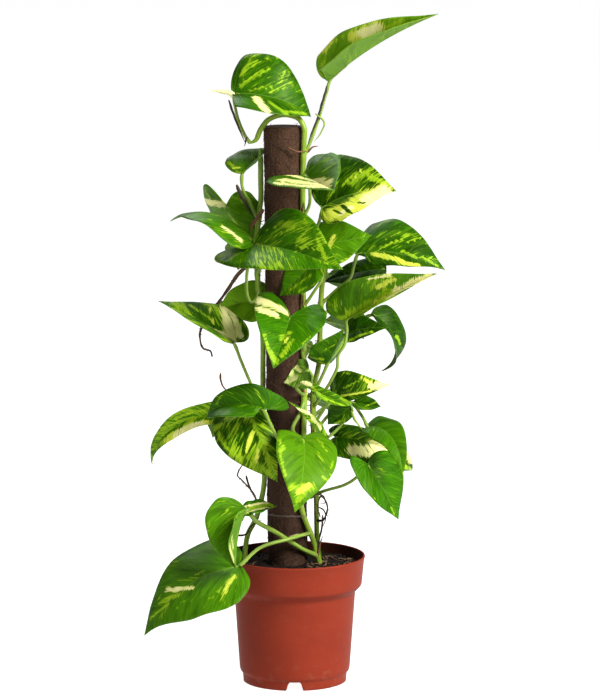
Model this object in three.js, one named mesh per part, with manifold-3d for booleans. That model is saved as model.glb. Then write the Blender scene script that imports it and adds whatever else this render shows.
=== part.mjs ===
// Potted golden pothos: a climbing aroid on a fibre-covered pole, in a 15 cm nursery pot.
// Millimetres, +Z up, origin on the surface under the middle of the pot, seen from -Y in front.

import * as THREE from 'three';
import { mergeVertices } from 'three/addons/utils/BufferGeometryUtils.js';
import Module from 'manifold-3d';

const wasm = await Module();
wasm.setup();

// Pot: rim width is the standard 15 cm that scales everything else
const rimRadius = 75;
const potHeight = 137;
const potWall = 1.6;
const collarBottom = { radius: 72, height: 105.5 };
const bodyTop = { radius: 65, height: 98 };
const bodyBottom = { radius: 59.2, height: 16 };
const footRound = { radius: 58.4, height: 11.75 };
const footRadius = { top: 56.4, bottom: 55.8 };
const footHeight = 9.5;
const potFloor = 10;
const rimBead = { height: 3, swell: 0.3, rounding: 0.8 };
const wallRise = 0.6;
const drainNotch = { top: 13, bottom: 18.5, height: 9.5, count: 4, depth: 30 };
const potSides = 36;

// Soil: a filled pot, its top a little under the rim
const soilHeight = 127;
const soilEdgeDrop = 2;
const soilHeap = 2.5;
const soilClods = 1.6;
const soilClodSize = 7;
const soilRings = [62, 42, 22];

// Left between pieces that touch
const touchGap = 0.3;

// Pole: leans a little to the left
const poleRadius = 21;
const poleFoot = { x: -6.5, z: 14 };
const poleTop = { x: -11.5, z: 598 };
const poleSides = 20;
const poleLevels = 6;
const fibreRelief = 0.5;
const fibreScale = 19;

// Stems, petioles and roots: round tubes
const vineRadius = 2.8;
const petioleRadius = 1.7;
const rootRadius = 1.4;
const stemSides = 6;
const petioleSides = 5;
const tubeStep = { stem: 16, petiole: 13, root: 8 };

// Blades: how wavy the margin is, how far back the side veins start and how fine the mesh is
const bladeThickness = 0.8;
const marginWave = { height: 1.3, turns: 2.2, sideLag: 0.15, leafLag: 0.37 };
const lobeShift = 0.14;
const veinSlant = 0.42;
const outlineStations = 9;
const stationColumns = 2;
const petioleSink = 0.3;
const petioleRun = [0.015, 0.09];

// Band that holds the stems
const bandLevel = 183;
const bandHeight = 2;
const bandThickness = 0.7;
const bandClearance = 0.7;
const bandSides = 32;

// Colours
const finish = {
  pot: { color: 0xa84a30, roughness: 0.42, metalness: 0 },
  soil: { color: 0x33231b, roughness: 1, metalness: 0 },
  pole: { color: 0x4b372d, roughness: 0.95, metalness: 0 },
  band: { color: 0x8d9a7a, roughness: 0.4, metalness: 0 },
  vine: { color: 0x7d9a34, roughness: 0.5, metalness: 0 },
  root: { color: 0x3d2b20, roughness: 0.9, metalness: 0 },
  leaf: { color: 0x4f8a22, roughness: 0.35, metalness: 0 },
};

// Stems, from the soil up: middle points of each
const vines = {
  right: [
    [27, -6, 106], [27, -5, 126], [22, -6, 144], [20, -8, 153], [7, -22, 194], [7, -23, 222],
    [9, -20, 254], [10, -17, 286], [10, -16, 329], [9, -15, 372], [9, -15, 415], [8, -15, 468],
    [8, -15, 521], [9, -14, 563], [10, -15, 584], [10, -15, 597], [4, -13, 607], [-11, -11, 611],
    [-27, -11, 606], [-36, -11, 595], [-41, -10, 584], [-47, -10, 581],
  ],
  left: [
    [-55, 9, 106], [-54, 10, 127], [-53, 12, 142], [-50, 10, 158], [-41, 4, 177], [-33, 3, 213],
    [-33, 1, 261], [-34, 1, 294], [-34, 1, 326], [-34, 1, 375], [-38, 1, 418], [-40, 3, 446],
    [-40, 3, 476], [-38, 3, 503], [-36, 3, 519], [-36, 3, 546], [-36, 3, 574],
  ],
  side: [
    [26, 23, 106], [26, 20, 129], [24, 14, 152], [23, 2, 203], [22, -2, 240], [20, -3, 275],
    [20, -2, 315], [26, 6, 345], [27, 8, 379], [28, 8, 411], [30, 10, 433], [35, 12, 452],
  ],
  back: [
    [-14, 42, 106], [-13, 40, 128], [-10, 34, 160], [-8, 27, 210], [-9, 25, 290], [-9, 25, 380],
    [-10, 25, 470], [-11, 25, 535],
  ],
};

// Each leaf: the height of its joint on a stem, the middle of its petiole, the blade's base and
// tip, the way its upper face looks, the two half widths, how far each half is raised as a
// fold, how far the midrib arches in degrees, and how far back the basal lobes reach
const leaves = [
  { name: 'leaf_top_left', vine: 'right', joint: 'end',
    petiole: [[-52, -10, 588], [-61, -9, 611]],
    base: [-64, -18, 633], tip: [17, -5, 608], face: [0.16, -0.86, 0.48],
    half: [47, 35], fold: [1, 38], arch: 93, lobe: [0.6, -0.1] },
  { name: 'leaf_top_right', vine: 'right', joint: 565,
    petiole: [[18, -12, 586], [26, -9, 609], [32, -4, 629]],
    base: [35.6, 0.7, 645.6], tip: [148.5, -68, 720.4], face: [-0.49, -0.61, 0.63],
    half: [29.5, 35.3], fold: [65, 62], arch: 24, lobe: [0.35, 0] },
  { name: 'leaf_upper_left', vine: 'left', joint: 497,
    petiole: [[-47, 3, 516], [-55, 2, 531]],
    base: [-56, 0, 547], tip: [-24, 41, 572], face: [-0.22, -0.79, 0.57],
    half: [26, 23], fold: [-3, 51], arch: 18, lobe: [0.4, 0] },
  { name: 'leaf_upper_front', vine: 'right', joint: 502,
    petiole: [[15, -20, 515], [16, -30.9, 531]],
    base: [14, -34, 546.7], tip: [41, -118, 542.2], face: [-0.62, -0.57, 0.55],
    half: [36, 46], fold: [-11, 51], arch: 1, lobe: [2.1, 1.4] },
  { name: 'leaf_upper_right', vine: 'right', joint: 470,
    petiole: [[18, -20, 483], [25, -23, 497]],
    base: [29, -27, 514], tip: [106, -45, 534], face: [-0.06, -0.38, 0.92],
    half: [52, 28], fold: [29, -23], arch: 43, lobe: [0.7, 0.5] },
  { name: 'leaf_left_fold', vine: 'left', joint: 456,
    petiole: [[-51, 16, 475], [-65, 30, 492]],
    base: [-72, 16, 512], tip: [-42, 35, 469], face: [-0.6, -0.66, 0.46],
    half: [32, 35], fold: [-15, -24], arch: 34, lobe: [1, 2.3] },
  { name: 'leaf_left_long', vine: 'left', joint: 424,
    petiole: [[-41, -4, 414], [-46, -7, 411], [-50, -8, 418], [-51, -10, 435], [-49, -13, 455]],
    base: [-44, -26, 477], tip: [-132, 15, 495], face: [0.01, -0.22, 0.98],
    half: [44, 26], fold: [6, -30], arch: 92, lobe: [0.4, 0.2] },
  { name: 'leaf_centre_big', vine: 'left', joint: 440,
    petiole: [[-35, -16, 453], [-38, -26, 466]],
    base: [-42, -31, 476], tip: [50, -113, 460], face: [-0.02, -0.9, 0.43],
    half: [44, 42], fold: [3, 26], arch: 39, lobe: [0.4, 1.7] },
  { name: 'leaf_right_behind', vine: 'right', joint: 436,
    petiole: [[16, -15, 453]],
    base: [25, -12, 471], tip: [82, -15, 483], face: [0, -0.85, 0.5],
    half: [26, 24], fold: [0, 0], arch: 15, lobe: [1, 1] },
  { name: 'leaf_right_big', vine: 'side', joint: 407,
    petiole: [[43, 2, 422], [59, -10, 438], [63, -16, 453]],
    base: [65, -21, 464], tip: [158, -42, 450], face: [0.1, -0.7, 0.71],
    half: [43, 14], fold: [2, -30], arch: 64, lobe: [0.4, -0.3] },
  { name: 'leaf_centre_under', vine: 'right', joint: 408,
    petiole: [[20, -22, 424], [29, -28, 441]],
    base: [21, -38, 458], tip: [-16, -25, 420], face: [0, -0.93, 0.36],
    half: [23, 23], fold: [29, -14], arch: 1, lobe: [0.9, 0.7] },
  { name: 'leaf_right_far', vine: 'side', joint: 394,
    petiole: [[50, 22, 408], [74, 24, 424], [92, 20, 438]],
    base: [97, 14, 444], tip: [30, 30, 427], face: [0, -0.7, 0.7],
    half: [16, 16], fold: [5, 5], arch: 30, lobe: [0.3, 0.3] },
  { name: 'leaf_right_mid', vine: 'side', joint: 297,
    petiole: [[31, -18, 316], [39, -27, 331], [45, -30, 345], [46, -31, 358], [53, -33, 370],
      [55, -29, 383]],
    base: [53, -24, 394], tip: [148, -91, 453], face: [-0.3, -0.86, 0.42],
    half: [34, 16], fold: [50, 50], arch: 17, lobe: [0.6, -0.3] },
  { name: 'leaf_right_droop', vine: 'side', joint: 364,
    petiole: [[48, 22, 374], [70, 20, 388]],
    base: [82, 11, 396], tip: [93, 33, 331], face: [0.88, -0.4, 0.25],
    half: [20, 20], fold: [20, 19], arch: 126, lobe: [0.3, 0.1] },
  { name: 'leaf_right_shade', vine: 'side', joint: 350,
    petiole: [[42, 12.9, 366]],
    base: [54, 8, 375], tip: [98.2, -18, 385.2], face: [0.02, -0.85, 0.53],
    half: [15, 15], fold: [20, 15], arch: 49, lobe: [0.1, 0.2] },
  { name: 'leaf_left_variegated', vine: 'left', joint: 303,
    petiole: [[-41, -5, 312], [-48, -9, 327], [-57, -16.9, 350]],
    base: [-63.9, -29, 371], tip: [-144.3, -8, 412.5], face: [0.1, -0.84, 0.53],
    half: [45, 42], fold: [61, -30], arch: 31, lobe: [0.2, 0.8] },
  { name: 'leaf_left_back', vine: 'left', joint: 395,
    petiole: [[-33, 16, 402], [-30, 27, 407]],
    base: [-31, 30, 408], tip: [-82, 37, 396], face: [-0.13, -0.77, 0.62],
    half: [22, 22], fold: [-14, 51], arch: 48, lobe: [0.4, 0.6] },
  { name: 'leaf_centre_heart', vine: 'right', joint: 359,
    petiole: [[8, -28, 376], [2, -37.9, 387]],
    base: [-5, -43, 399], tip: [-22, -111, 356], face: [0.11, -0.81, 0.57],
    half: [38, 41], fold: [19, 23], arch: 38, lobe: [2.2, 1.7] },
  { name: 'leaf_right_small', vine: 'side', joint: 309,
    petiole: [[24, -8, 321], [30, -9, 334]],
    base: [36, -8, 346], tip: [51, -33, 386], face: [0.46, -0.78, 0.43],
    half: [26, 18], fold: [-17, -30], arch: 15, lobe: [0.6, 0.5] },
  { name: 'leaf_pale_left', vine: 'right', joint: 324,
    petiole: [[17, -22, 329], [18, -27, 336]],
    base: [14, -34, 342], tip: [-12, -22, 327], face: [0.81, -0.36, 0.45],
    half: [17, 16], fold: [-14, 28], arch: 18, lobe: [0.6, 0.5] },
  { name: 'leaf_pale_droop', vine: 'right', joint: 312,
    petiole: [[6, -32, 318], [2, -50, 327]],
    base: [6, -60, 333], tip: [61, -33, 307], face: [0.1, -0.99, -0.06],
    half: [7, 7], fold: [13, 50], arch: 114, lobe: [0.2, -0.9] },
  { name: 'leaf_right_yellow', vine: 'side', joint: 279,
    petiole: [[29, -8, 293], [36, -11, 305]],
    base: [42, -12, 312], tip: [101, -38, 328], face: [0.13, -0.99, 0.09],
    half: [24, 9], fold: [-11, 40], arch: 80, lobe: [0.8, 0.2] },
  { name: 'leaf_right_low_a', vine: 'side', joint: 260,
    petiole: [[38, -9, 268], [54, -3, 284], [61, -5, 294]],
    base: [59.2, -10, 299.2], tip: [34.9, -5, 279.2], face: [0.26, -0.92, 0.31],
    half: [10, 18], fold: [10, 32], arch: 22, lobe: [0.1, 0.3] },
  { name: 'leaf_right_low_b', vine: 'side', joint: 268,
    petiole: [[35, -4, 288], [51, 2, 300]],
    base: [63, 0, 302], tip: [92, 10, 296], face: [-0.01, -0.94, 0.34],
    half: [10, 10], fold: [40, 40], arch: 35, lobe: [0.2, 0.5] },
  { name: 'leaf_left_arched', vine: 'right', joint: 228,
    petiole: [[-3, -36, 250], [-16, -46, 268], [-26, -55, 289]],
    base: [-32, -59, 305], tip: [-92, -43, 292], face: [0.11, -0.7, 0.71],
    half: [34, 21], fold: [32, 39], arch: 113, lobe: [-0.5, 1.7] },
  { name: 'leaf_far_left', vine: 'left', joint: 257,
    petiole: [[-42, 4, 272], [-50, 11.1, 284]],
    base: [-60.2, 11, 288.8], tip: [-153.4, 28, 230], face: [-0.27, -0.7, 0.67],
    half: [13, 13], fold: [-9, 60], arch: 130, lobe: [0.1, 0.1] },
  { name: 'leaf_left_hanging', vine: 'left', joint: 272,
    petiole: [[-35, -14, 288], [-41, -24, 296]],
    base: [-47, -25, 297], tip: [-18, -48, 225], face: [0, -0.98, 0.18],
    half: [17, 44], fold: [-15, -5], arch: 83, lobe: [0.7, 1.3] },
  { name: 'leaf_front_heart', vine: 'right', joint: 306,
    petiole: [[5, -27, 294], [-2, -36, 281], [2, -46.6, 273]],
    base: [9, -49.5, 270.7], tip: [0, -104.5, 202.9], face: [0.28, -0.94, 0.2],
    half: [35, 33], fold: [5, 10], arch: 64, lobe: [1.3, 0.6] },
  { name: 'leaf_pale_edge', vine: 'side', joint: 249,
    petiole: [[30, -6, 252], [33, -2.7, 258]],
    base: [33.2, -8, 258.1], tip: [-8, -27, 308.6], face: [0.19, -0.81, 0.55],
    half: [5, 6], fold: [30, 30], arch: 73, lobe: [-0.1, 0.1] },
  { name: 'leaf_right_cream', vine: 'side', joint: 236,
    petiole: [[31, 12.3, 250]],
    base: [44.1, 15, 262.4], tip: [126, 39, 221], face: [-0.04, -0.87, 0.49],
    half: [15, 25], fold: [45, 9], arch: 130, lobe: [0.6, 0.3] },
  { name: 'leaf_right_dark', vine: 'side', joint: 288,
    petiole: [[42, 18, 300], [61, 22, 297], [72, 7.8, 286]],
    base: [77.9, -10, 277], tip: [113, -70, 233], face: [0.57, -0.69, 0.44],
    half: [16, 16], fold: [48, -30], arch: 100, lobe: [0.5, 0.4] },
  { name: 'leaf_right_front', vine: 'side', joint: 203,
    petiole: [[32, -8, 208], [53, -22, 217], [65, -30, 226]],
    base: [77, -39, 242], tip: [110, -35, 182], face: [0.21, -0.87, 0.44],
    half: [41, 25], fold: [-23, 28], arch: 31, lobe: [0.7, 1.3] },
  { name: 'leaf_low_left_upper', vine: 'right', joint: 136,
    petiole: [[7, -22, 148], [-19, -42, 169], [-41, -67.5, 187]],
    base: [-50.9, -79, 202], tip: [-61.6, -85, 138.6], face: [-0.75, -0.6, 0.29],
    half: [38, 38], fold: [52, 71], arch: 33, lobe: [-0.4, 0.6] },
  { name: 'leaf_low_left_big', vine: 'right', joint: 163,
    petiole: [[6, -32, 164], [-7, -46, 163], [-37, -58.4, 156]],
    base: [-59.1, -69, 138.3], tip: [-159.2, -65, 62.9], face: [-0.07, -0.21, 0.97],
    half: [50, 52], fold: [-25, 16], arch: 61, lobe: [0.6, 0.5] },
  { name: 'leaf_back_top', vine: 'back', joint: 508,
    petiole: [[-10, 38, 522], [-9, 42, 538]],
    base: [-9, 42, 548], tip: [-12, 80, 514], face: [0, 0.6, 0.8],
    half: [17, 17], fold: [12, 12], arch: 40, lobe: [0.8, 0.8] },
  { name: 'leaf_back_upper_left', vine: 'back', joint: 450,
    petiole: [[-20, 40, 464], [-30, 52, 468]],
    base: [-34, 56, 464], tip: [-62, 98, 432], face: [-0.3, 0.6, 0.75],
    half: [34, 34], fold: [12, 12], arch: 30, lobe: [1, 1] },
  { name: 'leaf_back_upper_right', vine: 'back', joint: 410,
    petiole: [[10, 44, 424], [30, 55, 434]],
    base: [38, 58, 432], tip: [72, 96, 400], face: [0.3, 0.6, 0.75],
    half: [34, 34], fold: [12, 12], arch: 30, lobe: [1, 1] },
  { name: 'leaf_back_middle_left', vine: 'back', joint: 370,
    petiole: [[-26, 42, 388], [-40, 50, 395]],
    base: [-47, 54, 393], tip: [-89, 92, 363], face: [-0.3, 0.6, 0.75],
    half: [34, 34], fold: [12, 12], arch: 30, lobe: [1, 1] },
  { name: 'leaf_back_middle_right', vine: 'back', joint: 354,
    petiole: [[11, 44, 372], [29, 52, 383]],
    base: [35, 56, 382], tip: [75, 98, 356], face: [0.3, 0.6, 0.75],
    half: [34, 34], fold: [12, 12], arch: 30, lobe: [1, 1] },
  { name: 'leaf_back_centre', vine: 'back', joint: 322,
    petiole: [[-8, 46, 344], [-7, 62, 354]],
    base: [-6, 70, 352], tip: [-8, 119.5, 314], face: [0, 0.6, 0.8],
    half: [26, 26], fold: [12, 12], arch: 30, lobe: [1, 1] },
  { name: 'leaf_back_low_left', vine: 'back', joint: 254,
    petiole: [[-28, 42, 276], [-44, 52, 286]],
    base: [-52, 56, 287], tip: [-90, 98, 247], face: [-0.3, 0.6, 0.75],
    half: [36, 36], fold: [12, 12], arch: 30, lobe: [1, 1] },
  { name: 'leaf_back_low_right', vine: 'back', joint: 264,
    petiole: [[4, 46, 282], [9, 56, 294]],
    base: [14, 60, 299], tip: [54, 112, 265], face: [0.3, 0.6, 0.75],
    half: [36, 36], fold: [12, 12], arch: 30, lobe: [1, 1] },
];

// A young leaf that shares the petiole of a grown one
const youngLeaf = {
  on: 'leaf_low_left_upper',
  base: [-49, -76, 199], tip: [-19, -69, 203], face: [0, -0.6, 0.8],
  half: [10, 10], fold: [20, 20], arch: 30, lobe: [1, 1],
};

// The pale pointed sheath beside the highest leaf
const youngSheath = {
  on: 'leaf_top_left',
  path: [[-62, -17, 627], [-67, -18, 634], [-78, -18, 636], [-90, -18, 637.5]],
};

// Aerial roots, each from a stem at the given height
const roots = [
  { name: 'aerial_root_left', vine: 'left', joint: 446, radius: 1.7,
    path: [[-48, 8, 448], [-58, 12, 441], [-70, 14, 424], [-84, 14, 404], [-94, 13, 390],
      [-100, 10, 380], [-101, 8, 369], [-97, 6, 360], [-90, 6, 357], [-88, 6, 351]] },
  { name: 'aerial_root_low_left', vine: 'left', joint: 186,
    path: [[-40, 1, 194], [-44, -2, 204], [-56, -4, 219], [-61, -5, 224], [-57, -6, 234],
      [-50, -8, 240]] },
  { name: 'aerial_root_right', vine: 'side', joint: 172,
    path: [[31, -4, 176], [35, -6, 188], [32, -8, 199], [28, -12, 203], [25, -12, 192],
      [27, -13, 180]] },
];

// The clear band that holds the stems to the pole
const bands = [{ name: 'band_low', height: bandLevel }];

// Flat outline of a blade's half, in shares of its length and half width: base to tip
const halfOutline = new THREE.SplineCurve([
  [0, 0], [-0.05, 0.1], [-0.13, 0.28], [-0.165, 0.5], [-0.13, 0.74], [-0.03, 0.93], [0.12, 1.02],
  [0.3, 1.03], [0.48, 0.9], [0.64, 0.67], [0.78, 0.4], [0.89, 0.18], [1, 0],
].map(([along, across]) => new THREE.Vector2(along, across)));

const point = ([x, y, z]) => new THREE.Vector3(x, y, z);
const smoothPath = (points) => new THREE.CatmullRomCurve3(points, false, 'centripetal');

// Solids and their joining
function solidOf(geometry) {
  const bare = geometry.clone();
  bare.deleteAttribute('normal');
  bare.deleteAttribute('uv');
  const merged = mergeVertices(bare, 1e-4);
  return new wasm.Manifold(new wasm.Mesh({
    numProp: 3,
    vertProperties: new Float32Array(merged.attributes.position.array),
    triVerts: new Uint32Array(merged.index.array),
  }));
}

function geometryOf(solid) {
  const mesh = solid.getMesh();
  const geometry = new THREE.BufferGeometry();
  geometry.setAttribute('position', new THREE.BufferAttribute(mesh.vertProperties, 3));
  geometry.setIndex(new THREE.BufferAttribute(mesh.triVerts, 1));
  geometry.computeVertexNormals();
  return geometry;
}

function largestPiece(solid) {
  return solid.decompose().reduce((best, piece) => (piece.volume() > best.volume() ? piece : best));
}

const plant = new THREE.Group();

function addPiece(name, solid, look) {
  const mesh = new THREE.Mesh(geometryOf(solid), new THREE.MeshStandardMaterial(finish[look]));
  mesh.name = name;
  plant.add(mesh);
}

// A tube along a smooth curve
function tube(curve, radius, sides, stepLength) {
  const section = new THREE.Shape();
  for (let side = 0; side < sides; side += 1) {
    const angle = side / sides * Math.PI * 2;
    const [x, y] = [radius * Math.cos(angle), radius * Math.sin(angle)];
    if (side) section.lineTo(x, y);
    else section.moveTo(x, y);
  }
  const steps = Math.max(2, Math.round(curve.getLength() / stepLength));
  return solidOf(new THREE.ExtrudeGeometry(section, {
    steps, curveSegments: 1, extrudePath: curve, bevelEnabled: false,
  }));
}

// What would touch the pole is bent clear of it
function poleCentre(height) {
  const share = (height - poleFoot.z) / (poleTop.z - poleFoot.z);
  return poleFoot.x + (poleTop.x - poleFoot.x) * share;
}

function clearOfPole(place, clearance) {
  const beside = new THREE.Vector2(place.x - poleCentre(place.z), place.y);
  const reach = poleRadius + fibreRelief + clearance;
  if (place.z > poleTop.z + clearance || beside.length() >= reach) return place;
  beside.setLength(reach);
  return new THREE.Vector3(poleCentre(place.z) + beside.x, beside.y, place.z);
}

// The middle line of a blade is an arc; each half is raised along it as a fold
function bladeFrame(leaf) {
  const base = point(leaf.base);
  const forward = point(leaf.tip).sub(base);
  const chord = forward.length();
  forward.normalize();
  const up = point(leaf.face);
  up.addScaledVector(forward, -up.dot(forward)).normalize();
  const right = new THREE.Vector3().crossVectors(up, forward);
  const bend = THREE.MathUtils.degToRad(leaf.arch || 1);
  return { base, forward, up, right, bend, length: chord * bend / 2 / Math.sin(bend / 2) };
}

function midribAt(frame, along) {
  const { base, forward, up, bend, length } = frame;
  const arc = Math.max(along, 0);
  const start = bend / 2;
  const angle = start - bend * arc;
  const [sin, cos] = [Math.sin(angle), Math.cos(angle)];
  const tangent = forward.clone().multiplyScalar(cos).addScaledVector(up, sin);
  const normal = up.clone().multiplyScalar(cos).addScaledVector(forward, -sin);
  const place = base.clone()
    .addScaledVector(forward, length / bend * (Math.sin(start) - sin))
    .addScaledVector(up, length / bend * (cos - Math.cos(start)))
    .addScaledVector(tangent, Math.min(along, 0) * length);
  return { place, tangent, normal };
}

function bladePoint(leaf, frame, along, share, side) {
  const { place, normal } = midribAt(frame, along);
  const which = side > 0 ? 0 : 1;
  const out = share * leaf.half[which];
  const rise = THREE.MathUtils.degToRad(leaf.fold[which]);
  const { height, turns, sideLag } = marginWave;
  const swing = Math.sin(Math.PI * 2 * (turns * along + leaf.phase + side * sideLag));
  const wave = height * share * share * swing;
  place.addScaledVector(frame.right, side * out * Math.cos(rise));
  place.addScaledVector(normal, out * Math.sin(rise) + wave);
  return clearOfPole(place, bladeThickness);
}

// Corner points of a blade's middle surface, and its triangles, the same for both faces
function bladeSurface(leaf, frame) {
  const places = [];
  const triangles = [];
  const rows = [];
  const meanHalf = (leaf.half[0] + leaf.half[1]) / 2;
  const keep = (place) => places.push(place) - 1;
  const baseIndex = keep(midribAt(frame, 0).place);
  const tipIndex = keep(midribAt(frame, 1).place);
  const feet = new Map();
  for (const side of [1, -1]) {
    const grid = [];
    for (let station = 1; station < outlineStations; station += 1) {
      const { x, y: share } = halfOutline.getPoint(station / outlineStations);
      const lobe = leaf.lobe[side > 0 ? 0 : 1];
      const along = (x < 0 ? x * lobe : x) + (1 - lobe) * lobeShift * share * (1 - x);
      const behind = veinSlant * share * meanHalf / frame.length;
      const foot = station > 1 ? THREE.MathUtils.clamp(along - behind, 0, 1) : 0;
      if (!feet.has(station)) {
        const place = clearOfPole(midribAt(frame, foot).place, bladeThickness);
        feet.set(station, foot > 0 ? keep(place) : baseIndex);
      }
      const row = [feet.get(station)];
      for (let column = 1; column <= stationColumns; column += 1) {
        const part = column / stationColumns;
        row.push(keep(bladePoint(leaf, frame, foot + (along - foot) * part, share * part, side)));
      }
      grid.push(row);
    }
    rows.push(grid);
    const face = (a, b, c) => {
      if (a === b || b === c || a === c) return;
      triangles.push(side > 0 ? [a, b, c] : [a, c, b]);
    };
    for (let station = 0; station < grid.length; station += 1) {
      const next = grid[station + 1] ?? grid[station].map(() => tipIndex);
      for (let column = 0; column < stationColumns; column += 1) {
        const [a, b] = [grid[station][column], grid[station][column + 1]];
        const [c, d] = [next[column + 1], next[column]];
        face(a, b, c);
        face(a, c, d);
      }
    }
  }
  const [right, left] = rows.map(([first, ...others]) => [
    ...first.slice(1), ...others.map((row) => row[stationColumns]),
  ]);
  const rim = [baseIndex, ...right, tipIndex, ...left.reverse()];
  return { places, triangles, rim };
}

function blade(leaf, frame) {
  const { places, triangles, rim } = bladeSurface(leaf, frame);
  const normals = places.map(() => new THREE.Vector3());
  for (const [a, b, c] of triangles) {
    const across = new THREE.Vector3().subVectors(places[b], places[a]);
    const onward = new THREE.Vector3().subVectors(places[c], places[a]);
    const normal = across.cross(onward);
    for (const corner of [a, b, c]) normals[corner].add(normal);
  }
  const half = bladeThickness / 2;
  const shifted = (by) => places.map((place, corner) => (
    place.clone().addScaledVector(normals[corner].normalize(), by)));
  const index = [];
  const under = places.length;
  for (const [a, b, c] of triangles) {
    index.push(a, b, c, under + a, under + c, under + b);
  }
  rim.forEach((corner, order) => {
    const next = rim[(order + 1) % rim.length];
    index.push(corner, under + corner, under + next, corner, under + next, next);
  });
  const geometry = new THREE.BufferGeometry();
  geometry.setAttribute('position', new THREE.Float32BufferAttribute(
    [...shifted(half), ...shifted(-half)].flatMap((place) => place.toArray()), 3));
  geometry.setIndex(index);
  return solidOf(geometry);
}

// Turned solids stand upright
function turnedSolid(profile, sides, shape) {
  const turned = new THREE.LatheGeometry(profile.map(([r, z]) => new THREE.Vector2(r, z)), sides);
  turned.rotateX(Math.PI / 2);
  const places = turned.attributes.position;
  for (let corner = 0; shape && corner < places.count; corner += 1) {
    const place = new THREE.Vector3().fromBufferAttribute(places, corner);
    places.setXYZ(corner, ...shape(place).toArray());
  }
  return solidOf(turned);
}

// Pot: a turned wall with drainage notches through its foot
function potSolid() {
  const collarSlope = (rimRadius - collarBottom.radius) / (potHeight - collarBottom.height);
  const { height: beadHeight, swell, rounding } = rimBead;
  const wallInside = ({ radius, height }) => [radius - potWall, height + wallRise];
  let pot = turnedSolid([
    [0, potFloor], [footRadius.bottom - 2 * potWall, potFloor], [footRadius.bottom - potWall, 0],
    [footRadius.bottom, 0], [footRadius.top, footHeight], [footRound.radius, footRound.height],
    [bodyBottom.radius, bodyBottom.height], [bodyTop.radius, bodyTop.height],
    [collarBottom.radius, collarBottom.height],
    [rimRadius - beadHeight * collarSlope, potHeight - beadHeight],
    [rimRadius + swell, potHeight - beadHeight + rounding],
    [rimRadius + swell, potHeight - rounding], [rimRadius, potHeight],
    [rimRadius - potWall + swell, potHeight], [rimRadius - potWall, potHeight - rounding],
    wallInside(collarBottom), wallInside(bodyTop), wallInside(bodyBottom),
    [footRadius.top - 2 * potWall, potFloor + potWall], [0, potFloor + potWall],
  ], potSides);
  const opening = new THREE.Shape([
    new THREE.Vector2(-drainNotch.bottom / 2, -touchGap),
    new THREE.Vector2(drainNotch.bottom / 2, -touchGap),
    new THREE.Vector2(drainNotch.top / 2, drainNotch.height),
    new THREE.Vector2(-drainNotch.top / 2, drainNotch.height),
  ]);
  for (let notch = 0; notch < drainNotch.count; notch += 1) {
    const cutter = new THREE.ExtrudeGeometry(opening, {
      depth: drainNotch.depth, bevelEnabled: false,
    });
    cutter.rotateX(Math.PI / 2).translate(0, drainNotch.depth / 2 - footRadius.bottom, 0);
    cutter.rotateZ(notch * Math.PI * 2 / drainNotch.count);
    pot = pot.subtract(solidOf(cutter));
  }
  return pot;
}

// Even, repeatable roughness from a place alone, between -1 and 1
function unevenness(x, y, scale) {
  const [across, back] = [x / scale, y / scale];
  return Math.sin(across + 1.3 * Math.sin(0.9 * back)) * Math.cos(1.1 * back + Math.sin(across));
}

// Soil: keeps clear of the pot's wall, and its top is heaped a little in the middle
function soilSolid() {
  const wallGap = potWall + wallRise + touchGap;
  const floorHeight = potFloor + potWall + touchGap;
  const profile = [
    [0, floorHeight], [footRadius.top - 2 * potWall - wallRise, floorHeight],
    ...[bodyBottom, bodyTop, collarBottom].map(({ radius, height }) => [radius - wallGap, height]),
    [collarBottom.radius - wallGap, soilHeight - soilEdgeDrop],
    ...soilRings.map((radius) => [radius, soilHeight]), [0, soilHeight],
  ];
  const heaped = (place) => {
    if (place.z < soilHeight) return place;
    const heap = soilHeap * (1 - Math.hypot(place.x, place.y) / rimRadius);
    return place.setZ(soilHeight + heap + soilClods * unevenness(place.x, place.y, soilClodSize));
  };
  const soil = turnedSolid(profile, potSides, heaped);
  return soilHoles.reduce((left, hole) => left.subtract(hole), soil);
}

// Pole, or with some growth and no relief the plain hole it stands in
function poleSolid(growth, relief) {
  const height = poleTop.z - poleFoot.z + 2 * growth;
  const radius = poleRadius + growth;
  const levels = Array.from({ length: poleLevels + 1 }, (_, level) => [
    radius, poleFoot.z - growth + height * level / poleLevels,
  ]);
  const profile = [[0, levels[0][1]], ...levels, [0, levels[poleLevels][1]]];
  return turnedSolid(profile, poleSides, ({ x, y, z }) => {
    const uneven = unevenness(3 * x + z, 3 * y - z, fibreScale);
    const swell = 1 + relief / poleRadius * uneven;
    return new THREE.Vector3(x * swell + poleCentre(z), y * swell, z);
  });
}

// A stem's middle line, bent clear of the pole
function stemCurve(path) {
  return smoothPath(path.map((place) => clearOfPole(point(place), vineRadius + touchGap)));
}

function placeAtHeight(curve, height) {
  const places = curve.getSpacedPoints(Math.round(curve.getLength()));
  return places.reduce((best, place) => (
    Math.abs(place.z - height) < Math.abs(best.z - height) ? place : best));
}

const stems = {};
for (const [name, path] of Object.entries(vines)) {
  const curve = stemCurve(path);
  const clearance = tube(curve, vineRadius + touchGap, stemSides, tubeStep.stem);
  stems[name] = { curve, clearance };
}
const soilHoles = [
  poleSolid(fibreRelief + touchGap, 0),
  ...Object.values(stems).map((stem) => stem.clearance),
];

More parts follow.
